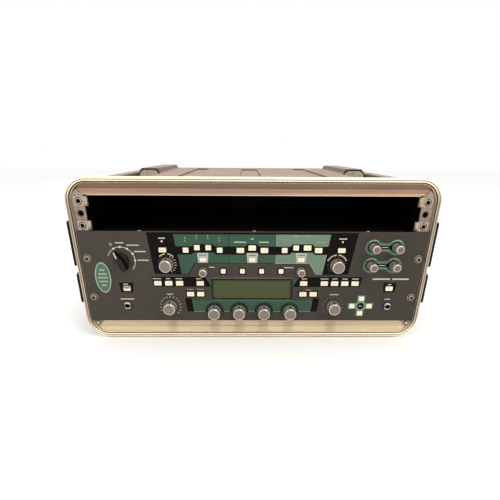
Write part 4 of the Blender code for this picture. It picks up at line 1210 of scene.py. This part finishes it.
def make_rim():
    """The front rim: two beads, a shallow and a deep groove with painted shade, and an inner ridge.

    Each point of its section is the inset from the outer edge, the depth behind the foremost
    edge, and the material slot of the face that ends there.
    """
    depth = RIM_HIGH.y - RIM_LOW.y
    section = ((0.0000, depth, 0), (0.0000, 0.0018, 0), (0.0004, 0.0008, 0), (0.0012, 0.0002, 0),
               (0.0022, 0.0001, 0), (0.0026, 0.0008, 1), (0.0031, 0.0008, 1), (0.0034, 0.0001, 0),
               (0.0041, 0.0000, 0), (0.0046, 0.0002, 0), (0.0050, 0.0009, 0), (0.0052, 0.0022, 2),
               (0.0055, 0.0036, 2), (0.0060, 0.0036, 2), (0.0063, 0.0016, 0), (0.0066, 0.0011, 0),
               (0.0070, 0.0016, 0), (0.0070, depth, 0))
    shape = bmesh.new()
    rings = [rounded_ring(shape, RIM_LOW, RIM_HIGH, inset, RIM_RADIUS, RIM_LOW.y + back)
             for inset, back, _ in section]
    for (_, _, slot), near, far in zip(section, rings[-1:] + rings, rings):
        bridge(shape, near, far, slot)
    rim = add_piece("front_rim_section", shape, [RIM_METAL, RIM_GROOVE, DEEP_GROOVE], smooth=50.0)
    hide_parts("front_rim")


HOLE_X = 0.23256                 # the rail holes, from the middle
CLIP_HEIGHTS = (0.13927, 0.17102)                # of the clips' holes, above the panel's foot
CLIP_HALF = 0.0061
CLIP_FRONT = 0.0009              # the sheet's front face, off the rail
SHEET = 0.0007


def make_clip_nuts():
    """Clip nuts on the outer holes of the free rack unit: folded spring sheet and a barrel."""
    # The sheet's way round the rail's inner edge, as the distance from the middle and the depth.
    fold = [(0.2256, -0.0009), (0.2238, -0.0007), (0.2224, 0.0002), (0.2217, 0.0016),
            (0.2217, 0.0030), (0.2224, 0.0042), (0.2238, 0.0049), (0.2330, 0.0050)]
    turns = (
        (32, 2, [(0.0029, 0.0009), (0.0030, 0.0015), (0.0036, 0.0017), (0.0042, 0.0009),
                 (0.0029, 0.0009)]),
        (32, 3, [(0.0042, 0.0009), (0.0042, 0.0010), (0.0050, 0.0010), (0.0050, 0.0009)]),
        (32, 1, [(0.0031, 0.0008), (0.0030, -0.0040)]),
        (24, 1, [(0.0024, -0.0045), (0.0045, -0.0045), (0.0045, -0.0090), (0.0024, -0.0090),
                 (0.0022, -0.0045)]),
    )
    plate = (rectangle(0.2254, -CLIP_HALF, 0.2388, CLIP_HALF), round_hole(HOLE_X, 0.0, 0.0031))
    for side, hand in SIDES:
        for number, height in enumerate(CLIP_HEIGHTS):
            z = FOOT + height
            shape = bmesh.new()
            loops = [[(side * x, up) for x, up in loop] for loop in plate]
            add_sheet(shape, loops, (0.0, RAIL_LOW.y - CLIP_FRONT + SHEET / 2, z), SHEET)
            add_turns(shape, turns, (side * HOLE_X, RAIL_LOW.y, z))
            rows = [[shape.verts.new((side * x, RAIL_LOW.y + back, z + up))
                     for up in (-CLIP_HALF, CLIP_HALF)] for x, back in fold]
            for near, far in zip(rows, rows[1:]):
                shape.faces.new((near[0], near[1], far[1], far[0]))
            # Painted shade: the barrel's bore is black and a ring round its flange dark.
            clip = add_piece(f"clip_nut_{hand}_{number + 1}", shape,
                             [CLIP_METAL, BLACK_PRINT_AND_SHADE, NICKEL, WASHER_DISH])
            clip.modifiers.new("sheet", "SOLIDIFY").thickness = 0.0004


RIDGE_SPAN = (0.1590, 0.2055)    # the top ridges' edges at their root, from the middle
RIDGE_FRONT = 0.2050             # from the panel's face
RIDGE_SLOPE = 0.0085             # how far the sides lean in over the ridge's height
RIDGE_HEIGHT = 0.0165


def make_ridge_pads():
    """A pebbled pad, lighter as painted light, in a frame of painted shade on each top ridge's front.
    """
    _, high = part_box("case_shell")
    for side, hand in SIDES:
        for part, inset, lift, material in (("frame", 0.0002, 0.0004, PAD_EDGE),
                                            ("pad", 0.0030, 0.0009, RIDGE_PAD_LIT)):
            shape = bmesh.new()
            rings = ([], [])
            for down, cut in ((0.0145, 0.0), (0.0034 + inset, 0.0), (inset, 0.0030)):
                share = 1 - down / RIDGE_HEIGHT
                near = RIDGE_SPAN[0] + RIDGE_SLOPE * share + inset + cut
                far = RIDGE_SPAN[1] - RIDGE_SLOPE * share - inset - cut
                back = FACE + RIDGE_FRONT + RIDGE_SLOPE / 2 * share + 0.0004
                for ring, y in zip(rings, (FACE + RIDGE_FRONT - lift, back)):
                    ring.insert(0, shape.verts.new((side * near, y, high.z - down)))
                    ring.append(shape.verts.new((side * far, y, high.z - down)))
            shape.faces.new(rings[0])
            bridge(shape, *rings)
            add_piece(f"ridge_{part}_{hand}", shape, [material])


BAR_HALF_WIDTH = 0.2215          # as far as the bars show between the rails


def make_bar_edges():
    """Strips along the cross bars' edges beside the case's opening, bright with a painted highlight.
    """
    top_low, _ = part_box("top_bar")
    _, bottom_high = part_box("bottom_bar")
    for name, foot, height in (("top", top_low.z + 0.0002, 0.0009),
                               ("bottom", bottom_high.z - 0.0014, 0.0012)):
        shape = bmesh.new()
        add_box(shape, (-BAR_HALF_WIDTH, RAIL_LOW.y - 0.0003, foot),
                (BAR_HALF_WIDTH, RAIL_LOW.y + 0.0004, foot + height))
        soften(add_piece(f"{name}_bar_edge", shape, [BAR_EDGE_HIGHLIGHT]), 0.0002)


BOSS_SPOT = (0.2347, -0.0049)    # from the middle, and from the panel's foot


def make_rail_bosses():
    """A boss on the foot of each rail, and a ring of painted shade round the rail's open hole between
    the clips.
    """
    boss = [(0.0033, 0.0001), (0.0033, 0.0004), (0.0026, 0.0005), (0.0024, 0.0013),
            (0.0018, 0.0017), (0.0, 0.0018)]
    edge = [(0.0034, 0.0001), (0.0043, 0.0001), (0.0043, 0.0003), (0.0034, 0.0003),
            (0.0034, 0.0001)]
    shape = bmesh.new()
    for side, _ in SIDES:
        # A ring of painted shade round the open hole.
        turned(shape, edge, 32, slots=1,
               centre=(side * HOLE_X, RAIL_LOW.y, FOOT + sum(CLIP_HEIGHTS) / 2))
        turned(shape, boss, 32, slots=[1, 1, 0, 0, 0],
               centre=(side * BOSS_SPOT[0], RAIL_LOW.y, FOOT + BOSS_SPOT[1]))
    add_piece("rail_bosses", shape, [NICKEL, PAD_EDGE])


def make_case():
    """Materials and softened edges for the case's own CAD nodes."""
    refine("case_shell", CASE_PLASTIC, 0.0012, 2, 32.0)
    refine("rear_cover", COVER_PLASTIC, 0.0012, 2, 32.0)
    for name in ("rail_left", "rail_right"):
        refine(name, RAIL_METAL, 0.0003)
    refine("top_bar", TOP_METAL, 0.0006, 3)
    refine("bottom_bar", BOTTOM_METAL, 0.0006, 3)


LATCH_FRAME = 0.0026             # the width of the frame left round the recessed face
LATCH_RECESS = 0.0008
RIB_PITCH = 0.0042
RIB_THICKNESS = 0.0014
RIB_SPAN = (0.0050, 0.0240)      # the ribs' ends, from the lever's edge at the mouth or the rear
RIB_ROWS = ((0.0080, 7), (0.0635, 11))           # the foot of each row of ribs and their number


def make_latches():
    """Latch levers with a recessed outer face and two rows of grip ribs in it."""
    for name in [node for node in NODES if "_latch_" in node]:
        low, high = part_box(name)
        side = 1 if low.x > 0 else -1
        outer = max(abs(low.x), abs(high.x))
        shape = bmesh.new()
        shape.from_mesh(NODES[name].data)
        bmesh.ops.remove_doubles(shape, verts=shape.verts, dist=HAIR)
        flat = [face for face in shape.faces
                if all(vertex.co.x * side > outer - 0.0002 for vertex in face.verts)]
        depths = [vertex.co.y for face in flat for vertex in face.verts]
        bmesh.ops.inset_region(shape, faces=flat, thickness=LATCH_FRAME, depth=-LATCH_RECESS,
                               use_even_offset=True, use_boundary=True)
        if name.startswith("front"):
            near, far = [min(depths) + reach for reach in RIB_SPAN]
        else:
            far, near = [max(depths) - reach for reach in RIB_SPAN]
        inner_x, outer_x = sorted((side * (outer - LATCH_RECESS - 0.0002), side * (outer - 0.0001)))
        for foot, count in RIB_ROWS:
            for step in range(count):
                height = low.z + foot + step * RIB_PITCH
                add_box(shape, (inner_x, near, height - RIB_THICKNESS / 2),
                        (outer_x, far, height + RIB_THICKNESS / 2))
        lever = add_piece(name + "_lever", shape, [BLACK_MOULD], body=name)
        soften(lever, 0.0004)
        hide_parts(name)


def make_processor():
    """Materials and softened edges for the processor's own CAD nodes."""
    refine("front_panel", PANEL_PAINT, 0.0004, 2, 60.0)
    for name in ("chassis", "top_cover", "rear_panel"):
        refine(name, DARK_SHEET, 0.0003)
    for name in ("front_board", "main_board"):
        refine(name, BOARD_MASK)
    refine("power_supply", SUPPLY_SHEET, 0.0015)


# --- Stage ---
LIGHTS = (                       # name, place, aim, size and power
    ("key_light", (0.9, -1.3, 1.7), (0.0, 0.0, 0.1), 1.0, 14.0),
    ("fill_light", (-1.2, -1.0, 1.0), (0.0, 0.0, 0.1), 1.5, 4.0),
    ("top_light", (0.0, 0.4, 2.0), (0.0, 0.1, 0.2), 1.4, 12.0),
)


def make_floor():
    """A wide pale floor under the case."""
    shape = bmesh.new()
    bmesh.ops.create_grid(shape, x_segments=1, y_segments=1, size=6.0)
    mesh = bpy.data.meshes.new("floor")
    shape.to_mesh(mesh)
    shape.free()
    mesh.materials.append(surface("floor_white", (0.95, 0.95, 0.95, 1.0), 0.8, spread=0.0,
                                  bump=0.0))
    floor = add_object("floor", mesh, (0.0, 0.0, -0.0002))


def make_lights():
    """A white surrounding and three soft, warm lights."""
    world = bpy.data.worlds.new("studio")
    world.use_nodes = True
    background = world.node_tree.nodes["Background"]
    background.inputs["Color"].default_value = WHITE
    background.inputs["Strength"].default_value = 1.0
    bpy.context.scene.world = world
    for name, place, aim, size, power in LIGHTS:
        lamp = bpy.data.lights.new(name, "AREA")
        lamp.size = size
        lamp.energy = power
        lamp.color = (1.0, 0.95, 0.88)
        holder = add_object(name, lamp, place)
        holder.rotation_euler = (Vector(aim) - Vector(place)).to_track_quat("-Z", "Y").to_euler()


def make_camera():
    """The photo's camera: in front of the panel, above it and tilted down."""
    camera = bpy.data.cameras.new("camera")
    camera.sensor_width = 36.0
    camera.lens = 27.36
    camera.shift_y = 0.160
    camera.clip_start = 0.01
    holder = add_object("camera", camera, on_panel(-0.0122, 0.2310, 0.5270))
    pitch, yaw, roll = math.radians(25.1), math.radians(0.83), math.radians(0.38)
    turn = (Matrix.Rotation(-yaw, 4, "Z") @ Matrix.Rotation(math.pi / 2 - pitch, 4, "X")
            @ Matrix.Rotation(roll, 4, "Z"))
    holder.rotation_euler = turn.to_euler()
    bpy.context.scene.camera = holder


bpy.context.scene.view_settings.view_transform = "Standard"
make_case()
make_rim()
make_clip_nuts()
make_ridge_pads()
make_rail_bosses()
make_bar_edges()
make_latches()
make_processor()
make_black_fields()
make_tap_glow()
make_bands()
make_plates()
make_display_fields()
make_lines()
make_effect_fields()
make_white_labels()
make_grey_labels()
make_dark_labels()
make_lamps()
make_badge()
make_navigation()
make_display()
make_jacks()
make_rack_screws()
make_cover_screws()
make_keys()
make_knobs()
make_selector()
make_floor()
make_lights()
make_camera()

bpy.context.view_layer.update()
